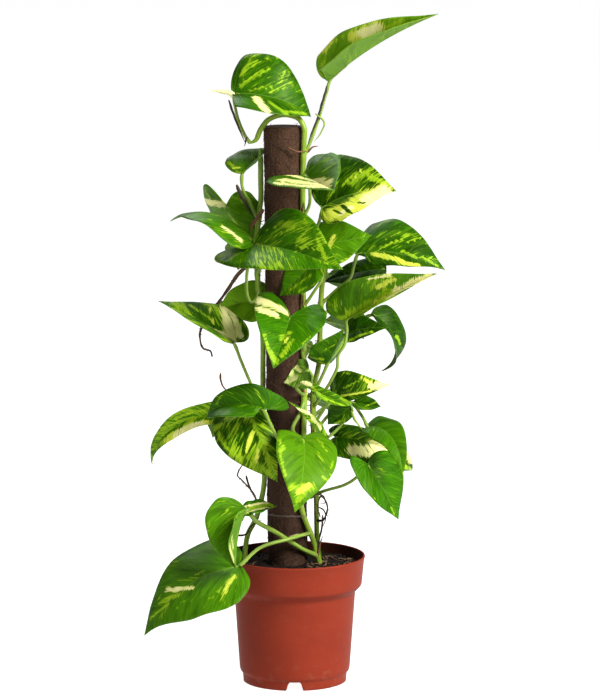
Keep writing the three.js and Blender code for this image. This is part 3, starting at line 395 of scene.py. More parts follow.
# The marks of each blade, green over the others. A stroke runs from one place to another: how far from the base to
# the tip in hundredths (minus on the second side), how far from the midrib to the rim, both again, and its width.
leafStrokes = {
    "top_left": dict(cream=[(-59, 22, -59, 92, 6)], lime=[(50, 43, 50, 80, 5), (53, 18, 62, 67, 4),
        (56, 31, 59, 47, 4), (53, 76, 62, 100, 3), (68, 59, 71, 88, 4), (59, 6, 68, 31, 3), (68, 10, 74, 47, 3),
        (-65, 43, -68, 92, 5), (-68, 84, -91, 59, 4), (56, 84, 53, 59, 2)]),
    "top_right": dict(cream=[(65, 63, 71, 67, 8)], yellow=[(62, 59, 71, 67, 13), (47, 92, 53, 100, 5)],
        lime=[(74, 47, 82, 71, 5), (-82, 92, -94, 100, 3), (44, 55, 47, 67, 4), (41, 100, 47, 100, 4),
        (-56, 80, -62, 100, 2), (53, 84, 59, 84, 3)]),
    "upper_left": dict(yellow=[(44, 47, 53, 22, 2)], lime=[(21, 67, -24, 51, 2), (47, 84, 47, 51, 3)]),
    "upper_front": dict(cream=[(-56, 59, 82, 18, 12), (-74, 71, -88, 6, 9), (-59, 88, -71, 71, 7),
        (-18, 100, 74, 18, 7)], lime=[(65, 39, 65, 92, 3), (41, 67, 50, 80, 2), (-82, 2, -97, 2, 2)]),
    "upper_right": dict(cream=[(-76, 63, -91, 27, 10), (-56, 71, -65, 71, 4)], yellow=[(-62, 67, -88, 80, 20),
        (-50, 55, -65, 71, 13), (59, 92, 65, 96, 2), (71, 47, 74, 76, 2)], lime=[(-18, 67, -44, 92, 6),
        (79, 55, 94, 84, 6), (71, 27, 79, 100, 6), (65, 27, 71, 59, 4)], green=[(-62, 47, -62, 84, 2),
        (-71, 63, -74, 88, 1.2), (-56, 47, -56, 71, 1.3), (-71, 10, -74, 10, 1.2)]),
    "left_fold": dict(cream=[(-44, 92, -41, 18, 7)], lime=[(-65, 14, 85, 2, 2), (21, 84, 53, 63, 2),
        (-35, 92, -38, 71, 3)]),
    "left_long": dict(cream=[(56, 59, 47, 55, 6)], lime=[(65, 71, 56, 55, 2), (44, 96, 32, 100, 2)]),
    "centre_big": dict(lime=[(76, 76, -91, 2, 4), (-74, 10, 76, 39, 2), (71, 18, 82, 51, 2), (47, 31, 62, 71, 2),
        (-47, 88, -50, 47, 4), (56, 18, 65, 67, 2), (-71, 63, -76, 22, 3), (59, 96, 65, 88, 2)]),
    "right_behind": dict(yellow=[(-56, 31, 65, 31, 4)], lime=[(-62, 96, -71, 100, 3)]),
    "right_big": dict(yellow=[(-50, 18, -68, 67, 4), (-65, 76, -79, 92, 3)], lime=[(59, 10, 68, 47, 3),
        (59, 35, 65, 71, 2), (71, 47, 76, 96, 2), (82, 14, -94, 22, 2), (71, 10, -79, 2, 3)]),
    "centre_under": dict(lime=[(82, 47, 59, 39, 3), (74, 84, 50, 100, 2)]),
    "right_mid": dict(cream=[(-74, 2, -94, 100, 10), (-68, 47, -79, 2, 7), (65, 88, 76, 96, 3)],
        yellow=[(68, 47, 76, 67, 5), (-59, 2, -74, 27, 6)], lime=[(-18, 27, -68, 100, 14), (50, 10, 76, 2, 8),
        (-56, 2, 71, 31, 5), (47, 76, 44, 43, 4), (29, 22, -47, 2, 6)]),
    "right_droop": dict(lime=[(65, 18, 71, 39, 3)]),
    "right_shade": dict(lime=[(-47, 96, -79, 71, 3)]),
    "left_variegated": dict(cream=[(-59, 96, 50, 2, 10), (-53, 100, -38, 39, 8), (65, 14, -59, 6, 4),
        (53, 39, 3, 51, 3)], yellow=[(-68, 84, -65, 18, 2), (-44, 100, -32, 100, 3)], lime=[(-79, 71, -65, 27, 4),
        (-85, 39, 74, 2, 3)]),
    "centre_heart": dict(cream=[(-56, 96, -41, 22, 9), (-62, 92, -62, 39, 7)], yellow=[(79, 14, 74, 22, 3)],
        lime=[(-76, 10, 71, 18, 5), (88, 47, 76, 43, 5), (-85, 84, 94, 10, 6), (76, 88, 65, 96, 2),
        (-76, 84, -88, 80, 3)]),
    "right_small": dict(lime=[(62, 55, 76, 22, 2), (47, 100, 53, 35, 3)]),
    "pale_left": dict(cream=[(76, 100, 79, 47, 5), (-94, 2, -74, 2, 4), (65, 100, 65, 27, 4)]),
    "pale_droop": dict(cream=[(15, 100, 47, 55, 4)], lime=[(47, 55, -53, 76, 3), (-53, 47, -76, 100, 2),
        (71, 67, 91, 2, 3)]),
    "right_yellow": dict(cream=[(82, 27, -97, 2, 7)], yellow=[(74, 80, 82, 47, 3), (-53, 14, -79, 47, 2)],
        lime=[(59, 27, 76, 84, 2), (59, 88, 65, 96, 2)]),
    "right_low_a": dict(lime=[(82, 96, 65, 67, 2)]),
    "right_low_b": dict(lime=[(-65, 39, 79, 84, 2)]),
    "left_arched": dict(lime=[(-59, 76, -56, 27, 2), (-82, 43, -74, 80, 1.5)]),
    "far_left": dict(cream=[(68, 92, 56, 80, 6)], yellow=[(74, 76, 53, 84, 6)], lime=[(-65, 100, -56, 100, 5),
        (-65, 59, -53, 31, 3), (85, 2, 74, 76, 5), (-91, 100, 94, 100, 4), (-74, 71, 56, 14, 3)]),
    "left_hanging": dict(yellow=[(-71, 55, -65, 14, 4), (-74, 22, -79, 59, 3)], lime=[(-65, 76, -74, 100, 5),
        (-74, 27, -82, 100, 6), (-56, 35, -59, 63, 4), (-74, 67, 71, 2, 6), (-59, 6, 68, 10, 5),
        (-76, 2, -88, 10, 6), (-62, 88, -68, 92, 4), (-47, 100, -47, 76, 6), (-82, 55, -94, 55, 5),
        (65, 10, 71, 31, 5), (-59, 84, -50, 92, 5), (59, 39, 62, 84, 4)]),
    "front_heart": dict(yellow=[(-85, 18, 79, 43, 5)], lime=[(-59, 92, -74, 92, 4), (59, 84, 68, 100, 3),
        (-82, 67, 79, 59, 8), (-91, 14, 85, 31, 6), (71, 76, 71, 100, 3), (-53, 96, -59, 76, 4),
        (44, 47, 56, 63, 3)]),
    "pale_edge": dict(cream=[(85, 100, -71, 92, 3), (-68, 47, -56, 35, 3)]),
    "right_cream": dict(cream=[(-53, 55, -71, 6, 12), (-62, 2, 71, 35, 8), (74, 92, 85, 100, 8),
        (-59, 63, -71, 35, 5)], lime=[(-79, 63, -97, 35, 4)]),
    "right_front": dict(lime=[(-85, 35, -91, 63, 2), (-65, 92, -71, 80, 1)]),
    "low_left_upper": dict(cream=[(68, 88, 88, 88, 5), (62, 71, 76, 47, 3)], lime=[(-65, 100, -59, 88, 2),
        (-59, 59, -47, 39, 1.5)]),
    "low_left_big": dict(cream=[(-76, 39, 68, 18, 4), (-76, 43, -74, 10, 4)], yellow=[(53, 63, 50, 31, 5)],
        lime=[(-82, 31, 74, 14, 5), (59, 67, 56, 55, 3), (-91, 39, 79, 18, 3), (53, 67, 53, 84, 4),
        (-65, 14, -59, 10, 1.5), (76, 63, 71, 43, 2), (-82, 51, -76, 63, 2)]),
}
backStrokes = dict(yellow=[(-50, 30, -55, 100, 3)], lime=[(50, 20, 60, 90, 3)])

# Pole: the stems and leaves keep clear of it
pole = {
    "radius": 21.0, "foot": (-6.5, 14.0), "top": (-11.5, 598.0), "sides": 132, "levels": 210, "skin": 0.5,
    "relief": 0.8, "crown": 1.2, "crownDrop": 0.4, "crownRings": (0.97, 0.85, 0.6, 0.3, 0),
    "fibres": 1100, "fibreRadius": 0.2, "fibreLength": (5, 20), "fibreFrom": 100, "fibreSlant": 1.1,
    "fibreLift": 0.9, "fibrePoints": 7,
}


def poleCentre(height):
    (footX, footZ), (topX, topZ) = pole["foot"], pole["top"]
    return footX + (topX - footX) * (height - footZ) / (topZ - footZ)


def clearOfPole(places, clearance):
    # pushes what would touch the pole straight out of it
    places = np.array(places, float)
    beside = places[..., :2] - np.stack([poleCentre(places[..., 2]), 0 * places[..., 2]], -1)
    reach = pole["radius"] + pole["skin"] + clearance
    far = np.linalg.norm(beside, axis=-1)
    inside = (far < reach) & (places[..., 2] < pole["top"][1] + clearance)
    pushed = beside * (reach / np.maximum(far, 1e-6))[..., None]
    centre = places[..., :2] - beside
    places[..., :2] = np.where(inside[..., None], centre + pushed, places[..., :2])
    return places


print("stems")
stem = {
    "radius": 2.8, "step": 2.2, "sides": 14, "tipSteps": 6, "tipWidth": 0.45, "touchGap": 0.3,
    "nodeSwell": 0.192, "nodeLength": 4.5, "mostSwell": 1.3,
    "holdfasts": 3, "holdfastReach": (4, 7), "holdfastTurn": 1.1, "holdfastSpread": 4, "holdfastWidths": (0.75, 0.3),
    "sheathLength": (14, 24), "sheathWidth": 1.5, "sheathCurl": 3.2,
}
strips = {  # strips that end in a point: how wide the foot is, and how fast it widens
    "dried": {"step": 1.5, "power": 1.6, "foot": 1, "widening": 0, "least": 0.15, "sides": 8, "uneven": 0.3},
    "remnant": {"step": 1.3, "power": 3, "foot": 0.5, "widening": 4, "least": 0.15, "sides": 8, "uneven": 0.25},
    "pale": {"step": 1.5, "power": 1.5, "foot": 0.6, "widening": 2, "least": 0.2, "sides": 10, "uneven": 0.1},
}
petiole = {
    "radius": 1.7, "sides": 10, "sink": 0.3, "ends": (0.015, 0.09, 0.2),
    "footSwell": 0.3, "footLength": 9, "neckSwell": 0.22, "neckAt": 0.26, "neckLength": 4,
    "thinFrom": 0.2, "thinnest": 0.28, "thick": {"low_left_upper": 1.45, "front_heart": 1.2, "low_left_big": 1.15},
}
stemCurves = {name: smoothPath(clearOfPole(path, stem["radius"] + stem["touchGap"]), stem["step"])
              for name, path in stemPaths.items()}


def placeAtHeight(curve, height):
    return int(np.argmin(np.abs(curve[:, 2] - height)))


def stemSkin(name, deep, light, oldDeep, oldLight, oldness, shine):
    # fine lengthwise streaks, lenticel specks and older patches
    shader = Shader(name)
    along, across, around = shader.attribute("stemPlace")
    streak = shader.noise(shader.vector(along * 0.03, across * 3.1, around * 3.1), 1.6, 4)
    patch = shader.noise(shader.vector(along * 0.035, across * 0.5, around * 0.5), 1.0, 3)
    speck = shader.noise(shader.place(0.9, 0.9, 0.4), 1.0, 2)
    young = shader.mix(streak.between(0.3, 0.7), tint(*deep), tint(*light))
    aged = shader.mix(streak.between(0.35, 0.65), tint(*oldDeep), tint(*oldLight))
    colour = shader.mix((patch + oldness).between(0.52, 0.68), young, aged)
    colour = shader.mix(speck.between(0.68, 0.76) * 0.5, colour, tint(*oldLight))
    bumpy = shader.bump(streak * 0.7 + speck * 0.3, 0.25, 0.5)
    return shader.surface(Base_Color=colour, Roughness=shine + streak * 0.2, Normal=bumpy, Specular_IOR_Level=0.3)


stemSkins = {  # two young tints, two old ones, how old it looks, and its roughness
    "stemGreen": ((100, 130, 28), (138, 162, 46), (92, 70, 38), (122, 104, 58), -0.1, 0.34),
    "stemOld": ((104, 138, 34), (142, 170, 56), (92, 88, 36), (122, 114, 52), -0.1, 0.42),
    "petiole": ((92, 124, 34), (138, 162, 62), (80, 96, 36), (116, 120, 58), -0.12, 0.36),
    "paleSheath": ((206, 206, 120), (226, 222, 176), (160, 168, 90), (186, 182, 120), -0.12, 0.4),
    "dried": ((92, 58, 36), (122, 84, 54), (60, 36, 24), (84, 54, 34), 0.0, 0.6),
    "dark": ((40, 30, 20), (62, 50, 30), (26, 18, 12), (44, 32, 20), 0.0, 0.6),
    "straw": ((150, 136, 84), (180, 168, 118), (110, 92, 54), (140, 120, 78), 0.0, 0.55),
    "root": ((70, 50, 36), (104, 78, 52), (44, 30, 22), (66, 48, 34), 0.05, 0.7),
    "soilRoot": ((96, 72, 50), (132, 104, 74), (58, 42, 28), (78, 58, 40), 0.0, 0.7),
    "coirStrand": ((66, 46, 32), (96, 72, 50), (38, 24, 18), (56, 38, 28), 0.06, 0.7),
}
skins = {name: stemSkin(name, *looks) for name, looks in stemSkins.items()}


def strip(kind, material, points, width, seed):
    look = strips[kind]
    path = smoothPath(points, look["step"])
    share = np.linspace(0, 1, len(path))
    radii = width * (1 - share**look["power"]) * np.minimum(1, look["foot"] + look["widening"] * share)
    return tube(material, path, radii + look["least"], look["sides"], seed, look["uneven"])


def driedSheath(start, way, length, width, seed):
    # a dried leaf base: a thin pointed strip that clasps what it grows on
    draw = random.Random(seed)
    way = np.array(way, float)
    way /= np.linalg.norm(way)
    curl = np.array([draw.uniform(-1, 1), draw.uniform(-1, 1), draw.uniform(-0.3, 0.3)]) * stem["sheathCurl"]
    points = [np.array(start) + way * length * t + curl * t * t for t in (0, 0.35, 0.7, 1)]
    return strip("dried", 1, points, width, seed)


remnants = {  # dried leaf bases and rootlets: 0 green, 1 dried, 2 dark or 3 straw, then width and path
    "right": [
        (2, 1.2, [(34, -5, 640), (30, -8, 626), (24, -12, 607), (17, -14, 590), (14, -13, 581)]),
        (2, 1.1, [(-69, -20, 627), (-62, -20, 606), (-52, -19, 582)]),
        (1, 0.8, [(-7, -25, 578), (-2, -26, 575), (4, -25, 573), (8, -23, 573), (13, -16, 573)]),
        (1, 0.9, [(13, -14, 571), (19, -14, 577), (25, -14, 578)]),
        (0, 0.8, [(22, -12, 612), (31, -12, 603), (27, -12, 591), (20, -12, 582)]),
        (2, 0.8, [(-52, -19, 583), (-50, -19, 588), (-53, -19, 578)]),
        (3, 1.5, [(-7, -30, 161), (3, -30, 164), (12, -28, 163)]),
        (2, 0.8, [(12, -20, 204), (18, -18, 202), (23, -17, 206), (31, -16, 203), (32, -16, 196), (26, -16, 196)]),
    ],
    "left": [
        (2, 1.9, [(-61, -14, 537), (-56, -14, 525), (-49, -13, 512), (-43, -12, 502)]),
        (1, 2.2, [(-33, -24, 512), (-41, -22, 501), (-46, -20, 493), (-48, -18, 486)]),
        (2, 0.9, [(-64, -3, 158), (-52, -4, 160), (-48, -5, 167), (-42, -5, 173), (-34, -6, 176)]),
        (1, 0.9, [(-79, 0, 334), (-79, 0, 327), (-76, 0, 319), (-70, 0, 312)]),
        (2, 1.0, [(-52, 6, 222), (-50, 5, 214), (-46, 4, 206)]),
    ],
    "side": [
        (2, 0.9, [(30, -9, 182), (29, -9, 168), (26, -8, 154), (24, -8, 140)]),
        (0, 1.2, [(60, -22, 297), (64, -22, 287), (72, -20, 276)]),
        (2, 0.6, [(24, -9, 191), (31, -9, 187), (33, -9, 178), (29, -9, 167)]),
    ],
    "back": [],
}


def makeStem(name, skin):
    curve = stemCurves[name]
    run = np.arange(len(curve)) * stem["step"]
    radii = np.full(len(curve), stem["radius"])
    draw = random.Random(len(name) * 7 + 3)
    joints = [placeAtHeight(curve, leaf["joint"]) for leaf in leaves
              if leaf["vine"] == name and leaf["joint"] != "end"]
    parts = []
    for at in joints:
        near = np.exp(-((run - run[at]) / stem["nodeLength"])**2)
        radii = radii * (1 + stem["nodeSwell"] * near)
        outward = curve[at][:2] - np.array([poleCentre(curve[at][2]), 0])
        outward /= np.linalg.norm(outward)
        for _ in range(stem["holdfasts"]):  # short roots that reach for the pole
            turn = draw.uniform(-stem["holdfastTurn"], stem["holdfastTurn"])
            back = -np.array([outward[0] * math.cos(turn) - outward[1] * math.sin(turn),
                              outward[0] * math.sin(turn) + outward[1] * math.cos(turn), draw.uniform(-0.5, 0.3)])
            start = curve[at] + np.array([0, 0, draw.uniform(-stem["holdfastSpread"], stem["holdfastSpread"])])
            end = clearOfPole(start + back * draw.uniform(*stem["holdfastReach"]), stem["touchGap"])
            path = smoothPath([start, (start + end) / 2 + [0, 0, draw.uniform(-1, 0.4)], end], 1.2)
            parts.append(tube(1, path, np.linspace(*stem["holdfastWidths"], len(path)), 6, draw.random()))
    radii = np.minimum(radii, stem["radius"] * stem["mostSwell"])
    radii[-stem["tipSteps"]:] *= np.linspace(1, stem["tipWidth"], stem["tipSteps"])
    parts.insert(0, tube(0, curve, radii, stem["sides"], len(name), 0.03))
    for at in joints[1::3]:
        parts.append(driedSheath(curve[at] + [0, -stem["radius"] * 0.7, 0], (draw.uniform(-0.3, 0.3), -0.1, 1),
                                 draw.uniform(*stem["sheathLength"]), stem["sheathWidth"], draw.random() * 9))
    for index, (material, width, points) in enumerate(remnants[name]):
        parts.append(strip("remnant", material, points, width, index + 0.4))
    materials = [skins[skin], skins["dried"], skins["dark"], skins["straw"]]
    makePiece(f"stem_{name}", parts, materials, [f"vine_{name}"])


print("leaves")
blade = {
    "rows": 52, "columns": 12, "columnPower": 1.45, "thickness": 0.7, "marginShare": 0.55,
    "waveHeight": 1.3, "waveTurns": 2.2, "sideLag": 0.15, "leafLag": 0.37, "lobeShift": 0.14,
    "veinSlant": 0.42, "dome": 0.055, "quilt": 0.32, "veins": 8, "ridge": 0.55, "groove": 0.28,
    "ripple": 0.5, "midribWidth": 3, "midribEdge": 1.5, "midribFade": 0.85, "strokeWidth": 0.85, "strokeEdge": 1.35,
    "outline": [(0, 0), (-0.05, 0.1), (-0.13, 0.28), (-0.165, 0.5), (-0.13, 0.74), (-0.03, 0.93), (0.12, 1.02),
                (0.3, 1.03), (0.48, 0.9), (0.64, 0.67), (0.78, 0.4), (0.89, 0.18), (1, 0)],
}


def onSide(pair, side):
    return pair[0 if side > 0 else 1]


def outlineAt(t):
    # uniform Catmull-Rom through the outline of a blade's half, from base to tip
    points = np.array(blade["outline"], float)
    place = t * (len(points) - 1)
    first = min(int(place), len(points) - 2)
    part = place - first
    a, b = points[max(first - 1, 0)], points[first]
    c, d = points[first + 1], points[min(first + 2, len(points) - 1)]
    leave, arrive = (c - a) / 2, (d - b) / 2
    return ((2 * b - 2 * c + leave + arrive) * part**3 + (3 * c - 3 * b - 2 * leave - arrive) * part**2
            + leave * part + b)


def bladeFrame(leaf):
    base, forward = np.array(leaf["base"], float), np.array(leaf["tip"], float) - leaf["base"]
    chord = np.linalg.norm(forward)
    forward /= chord
    up = np.array(leaf["face"], float)
    up -= up @ forward * forward
    up /= np.linalg.norm(up)
    bend = math.radians(leaf["arch"])
    return {"base": base, "forward": forward, "up": up, "right": np.cross(up, forward), "bend": bend,
            "length": chord * bend / 2 / math.sin(bend / 2)}


def midribAt(shape, along):
    along = np.asarray(along, float)[..., None]
    start, length = shape["bend"] / 2, shape["length"]
    angle = start - shape["bend"] * np.maximum(along, 0)
    tangent = shape["forward"] * np.cos(angle) + shape["up"] * np.sin(angle)
    normal = shape["up"] * np.cos(angle) - shape["forward"] * np.sin(angle)
    radius = length / shape["bend"]
    place = (shape["base"] + shape["forward"] * radius * (math.sin(start) - np.sin(angle))
             + shape["up"] * radius * (np.cos(angle) - math.cos(start))
             + tangent * np.minimum(along, 0) * length)
    return place, normal


def bladePoints(leaf, shape, along, share, side, row, part):
    place, normal = midribAt(shape, along)
    half, rise = onSide(leaf["half"], side), math.radians(onSide(leaf["fold"], side))
    out = share * half
    swing = np.sin(2 * math.pi * (blade["waveTurns"] * along + leaf["phase"] + side * blade["sideLag"]))
    lift = out * math.sin(rise) + blade["waveHeight"] * share**2 * swing
    lift = lift + blade["dome"] * half * np.sin(math.pi * np.clip(part, 0, 1)) * min(1, 2 * (1 - row))
    lift = lift + blade["quilt"] * np.cos(2 * math.pi * blade["veins"] * row) * part * (1 - part) * 4
    place = place + shape["right"] * (side * out * math.cos(rise))[..., None] + normal * lift[..., None]
    ripple = waviness(place / 12 + 9 * leaf["phase"], 1.0, int(leaf["phase"] * 100) + 5)
    place = place + normal * (blade["ripple"] * ripple * part)[..., None]
    return clearOfPole(place, blade["thickness"])


def rowReach(leaf, shape, row, side):
    # where a row's foot and rim stand along the midrib, and its share of the full half width
    x, share = outlineAt(row)
    lobe = onSide(leaf["lobe"], side)
    along = (x * lobe if x < 0 else x) + (1 - lobe) * blade["lobeShift"] * share * (1 - x)
    lag = blade["veinSlant"] * share * sum(leaf["half"]) / 2 / shape["length"]
    return min(max(along - lag, 0), 1), along, share


def flatPlace(leaf, shape, signedRow, part):
    # a place on the blade laid flat: millimetres along and across
    side = 1 if signedRow > 0 else -1
    foot, along, share = rowReach(leaf, shape, abs(signedRow), side)
    return np.array([(foot + (along - foot) * part) * shape["length"],
                     side * share * part * onSide(leaf["half"], side)])


def strokeMarks(leaf, shape, flat):
    # how pale, how lime and how creamy each flat place is
    kept = np.zeros((len(flat), 3))
    for kind, strokes in leaf["strokes"].items():
        for *places, width in strokes:
            startRow, startPart, endRow, endPart = [place / 100 for place in places]
            start, end = flatPlace(leaf, shape, startRow, startPart), flatPlace(leaf, shape, endRow, endPart)
            run = end - start
            share = np.clip((flat - start) @ run / max(run @ run, 1e-6), 0, 1)
            away = np.linalg.norm(flat - start - share[:, None] * run, axis=1)
            near = np.clip(blade["strokeEdge"] - away / (width * blade["strokeWidth"]), 0, 1)
            if kind == "green":
                kept[:, :2] *= (1 - near)[:, None]
            for column in {"cream": (0, 2), "yellow": (0,), "lime": (1,), "green": ()}[kind]:
                kept[:, column] = np.maximum(kept[:, column], near)
    return kept


def makeBlade(leaf):
    shape = bladeFrame(leaf)
    rows, columns = blade["rows"], blade["columns"]
    ends, _ = midribAt(shape, np.array([0.0, 1.0]))
    places, veinPlace, leafPlace = [*ends], [(0, 0, 0)] * 2, [(0, 0, 0), (0, 1, 0)]
    flat = [(0, 0), (shape["length"], 0)]
    faces, rims, feet = [], [], {}
    parts = (np.arange(1, columns + 1) / columns)**blade["columnPower"]
    seed = leaf["phase"] * 10
    for side in (1, -1):
        grid = []
        for station in range(1, rows):
            row = station / rows
            foot, along, share = rowReach(leaf, shape, row, side)
            foot = foot if station > 1 else 0
            if station not in feet:
                feet[station] = len(places) if foot > 0 else 0
                if foot > 0:
                    place, _ = midribAt(shape, foot)
                    places.append(clearOfPole(place, blade["thickness"]))
                    veinPlace.append((row * shape["length"], 0, seed))
                    leafPlace.append((0, row, 0))
                    flat.append((foot * shape["length"], 0))
            alongs = foot + (along - foot) * parts
            points = bladePoints(leaf, shape, alongs, share * parts, side, row, parts)
            first = len(places)
            places += list(points)
            reach = parts * share * onSide(leaf["half"], side)
            veinPlace += [(row * shape["length"], side * (r + blade["midribWidth"]), seed) for r in reach]
            leafPlace += [(p, row, 0) for p in parts]
            flat += [(a * shape["length"], side * r) for a, r in zip(alongs, reach)]
            grid.append([feet[station], *range(first, first + columns)])
        for low, high in zip(grid, grid[1:] + [[1] * (columns + 1)]):
            for column in range(columns):
                corners = [low[column], low[column + 1], high[column + 1], high[column]]
                corners = [c for i, c in enumerate(corners) if c != corners[i - 1]]
                if len(corners) > 2:
                    faces.append(corners[::-1] if side > 0 else corners)
        rims.append([*grid[0][1:], *[line[-1] for line in grid[1:]]])
    places = np.array(places)
    sums = np.zeros_like(places)
    for face in faces:
        a, b, c = places[face[0]], places[face[1]], places[face[2]]
        d = places[face[3]] if len(face) > 3 else c
        normal = np.cross(c - a, d - b) if len(face) > 3 else np.cross(b - a, c - a)
        sums[face] += normal
    normals = sums / np.maximum(np.linalg.norm(sums, axis=1), 1e-9)[:, None]
    leafPlace, veinPlace = np.array(leafPlace, float), np.array(veinPlace, float)
    marks = strokeMarks(leaf, shape, np.array(flat, float))
    part, row, spread = leafPlace[:, 0], leafPlace[:, 1], np.abs(veinPlace[:, 1])
    half = blade["thickness"] / 2 * (1 - (1 - blade["marginShare"]) * part**2)
    middle = np.exp(-(np.where(part > 0, spread - blade["midribWidth"], 0) / blade["midribEdge"])**2)
    middle = middle * (1 - row * blade["midribFade"])
    upper = places + normals * (half - blade["groove"] * middle)[:, None]
    lower = places - normals * (half + blade["ridge"] * middle)[:, None]
    count = len(places)
    rim = [0, *rims[1], 1, *rims[0][::-1]]
    allFaces = faces + [[corner + count for corner in face[::-1]] for face in faces]
    for corner, following in zip(rim, rim[1:] + rim[:1]):
        allFaces.append([corner, corner + count, following + count, following])
    top = np.concatenate([np.ones(count), np.zeros(count)])
    look = np.column_stack([np.full(2 * count, leaf["toneWithPaintedLight"]), np.full(2 * count, leaf["fleck"]), top])
    kept = {key: np.vstack([values] * 2)
            for key, values in (("veinPlace", veinPlace), ("leafPlace", leafPlace), ("marks", marks))}
    kept["look"] = look
    return (np.vstack([upper, lower]), allFaces, 0, kept), shape


def makePetiole(leaf, shape):
    curve = stemCurves[leaf["vine"]]
    start = curve[-1] if leaf["joint"] == "end" else curve[placeAtHeight(curve, leaf["joint"])]
    middle = clearOfPole(leaf["petiole"], petiole["radius"] + stem["touchGap"])
    sink = blade["thickness"] / 2 + petiole["radius"] * petiole["sink"]
    under, normal = midribAt(shape, np.array(petiole["ends"]))
    path = smoothPath([start, *middle, *(under - normal * sink)], stem["step"])
    left = np.linspace(1, 0, len(path)) * (len(path) - 1) * stem["step"]
    foot = np.exp(-(left[::-1] / petiole["footLength"])**2)
    neck = np.exp(-((left - shape["length"] * petiole["neckAt"]) / petiole["neckLength"])**2)
    radii = petiole["radius"] * (1 + petiole["footSwell"] * foot + petiole["neckSwell"] * neck)
    radii = radii * np.clip(left / (shape["length"] * petiole["thinFrom"]), petiole["thinnest"], 1)
    return tube(1, path, radii * petiole["thick"].get(leaf["name"], 1), petiole["sides"], leaf["phase"], 0.04)


leafTints = {
    "dark": tint(12, 40, 0), "mid": tint(46, 98, 2), "bright": tint(50, 106, 1), "fresh": tint(100, 146, 14),
    "lime": tint(160, 186, 34), "yellow": tint(200, 204, 76), "cream": tint(231, 224, 154),
    "vein": tint(104, 146, 44), "margin": tint(130, 154, 64), "under": tint(100, 134, 50),
}


def makeLeafSkin():
    # one skin for all blades: marks and look are kept on the mesh, noise gives the ragged edges
    shader = Shader("leafSkin")
    across, along, seed = shader.attribute("veinPlace")
    part, row, _ = shader.attribute("leafPlace")
    pale, lime, creamy = shader.attribute("marks")
    toneWithPaintedLight, fleck, top = shader.attribute("look")
    across = across - abs(along) * 0.3

    def grain(fine, drawnOut, start, detail, roughness=0.5, distortion=0.0):
        # noise that is drawn out along the veins
        return shader.noise(shader.vector(across * fine, along * drawnOut, start), 1.0, detail, roughness, distortion)

    streak = grain(0.75, 0.06, seed, 4, 0.6, 0.5)
    thread = grain(1.7, 0.09, seed + 2.3, 4, 0.65, 0.4)
    broad = grain(0.07, 0.05, seed + 4.7, 2, 0.5, 0.3)
    cloud = grain(0.05, 0.05, seed + 9.1, 2)
    shade = grain(0.16, 0.035, seed + 6.1, 3, 0.6, 0.3)
    ragged = streak * 0.7 + thread * 0.3 - 0.5
    vein = abs((row * blade["veins"]).fraction() - 0.5) * 2
    veinLine = vein.between(0.86, 1.0) * (1 - part * 0.75)
    midrib = 1 - (abs(along) - blade["midribWidth"]).between(0.1, 0.9)
    margin = part.between(0.975, 1.0)
    # painted light: tone is partly the leaf's own green and partly painted light, and tone past 0.9 adds fresh green
    # as painted light
    green = shader.layers(leafTints, leafTints["dark"],
                          ((toneWithPaintedLight * 0.8 + cloud * 0.6 - 0.15).between(0.15, 0.85), "bright"),
                          ((streak * 0.5 + broad * 0.5 + toneWithPaintedLight * 0.06).between(0.48, 0.6) * 0.5, "mid"),
                          (thread.between(0.42, 0.62) * 0.5, "dark"),
                          ((1 - streak).between(0.5, 0.66) * 0.32, "fresh"),
                          ((toneWithPaintedLight - 0.9).most(0.0), "fresh"),
                          (shade.between(0.5, 0.66) * 0.4, "dark"))
    limeMask = (ragged * 0.8 + (broad - 0.5) * 0.45 + fleck * 0.16 - 0.03).between(0.1, 0.145)
    limeMask = limeMask.most((lime * 0.88 + ragged * 3.0).between(0.46, 0.8))
    limeTint = shader.layers(leafTints, leafTints["lime"], (thread.between(0.35, 0.65), "fresh"))
    creamMask = (pale * 0.92 + ragged * 2.9).between(0.44, 0.7)
    creamTint = shader.layers(leafTints, leafTints["yellow"],
                              ((creamy + (thread - 0.5) * 1.2).between(0.3, 0.7), "cream"),
                              (streak.between(0.42, 0.6) * (0.75 - creamy * 0.5), "lime"))
    colour = shader.mix(creamMask, shader.mix(limeMask * 0.88, green, limeTint), creamTint)
    colour = shader.layers(leafTints, colour, (veinLine * 0.1, "vein"),
                           (midrib * (1 - row * 0.5) * 0.4, "vein"), (margin * 0.3, "margin"))
    under = shader.layers(leafTints, colour, (0.4, "under"), (veinLine * 0.3, "vein"))
    colour = shader.mix(top.between(0.4, 0.6), under, colour)
    bumpy = shader.bump(veinLine * -0.5 + streak * 0.4 + thread * 0.25, 0.4, 0.7)
    roughness = 0.58 - top * 0.22 + thread * 0.12
    return shader.surface(Base_Color=colour, Roughness=roughness, Normal=bumpy, Specular_IOR_Level=0.11,
                          Specular_Tint=(0.8, 1.0, 0.45, 1.0))


leafSkin = makeLeafSkin()
youngLeaf = dict(on="low_left_upper", base=(-49, -76, 199), tip=(-19, -69, 203), face=(0, -0.6, 0.8), half=(10, 10),
                 fold=(20, 20), arch=30, lobe=(1, 1), toneWithPaintedLight=0.7, fleck=0.5, phase=0.0,
                 strokes=dict(cream=[(30, 80, 80, 80, 2), (-30, 50, -80, 50, 3)],
                              lime=[(20, 50, 90, 50, 4), (-20, 90, -90, 90, 3)]))
paleSheath = {"on": "top_left", "width": 3.3,
              "path": [(-62, -17, 627), (-67, -18, 634), (-78, -18, 636), (-90, -18, 637.5)]}


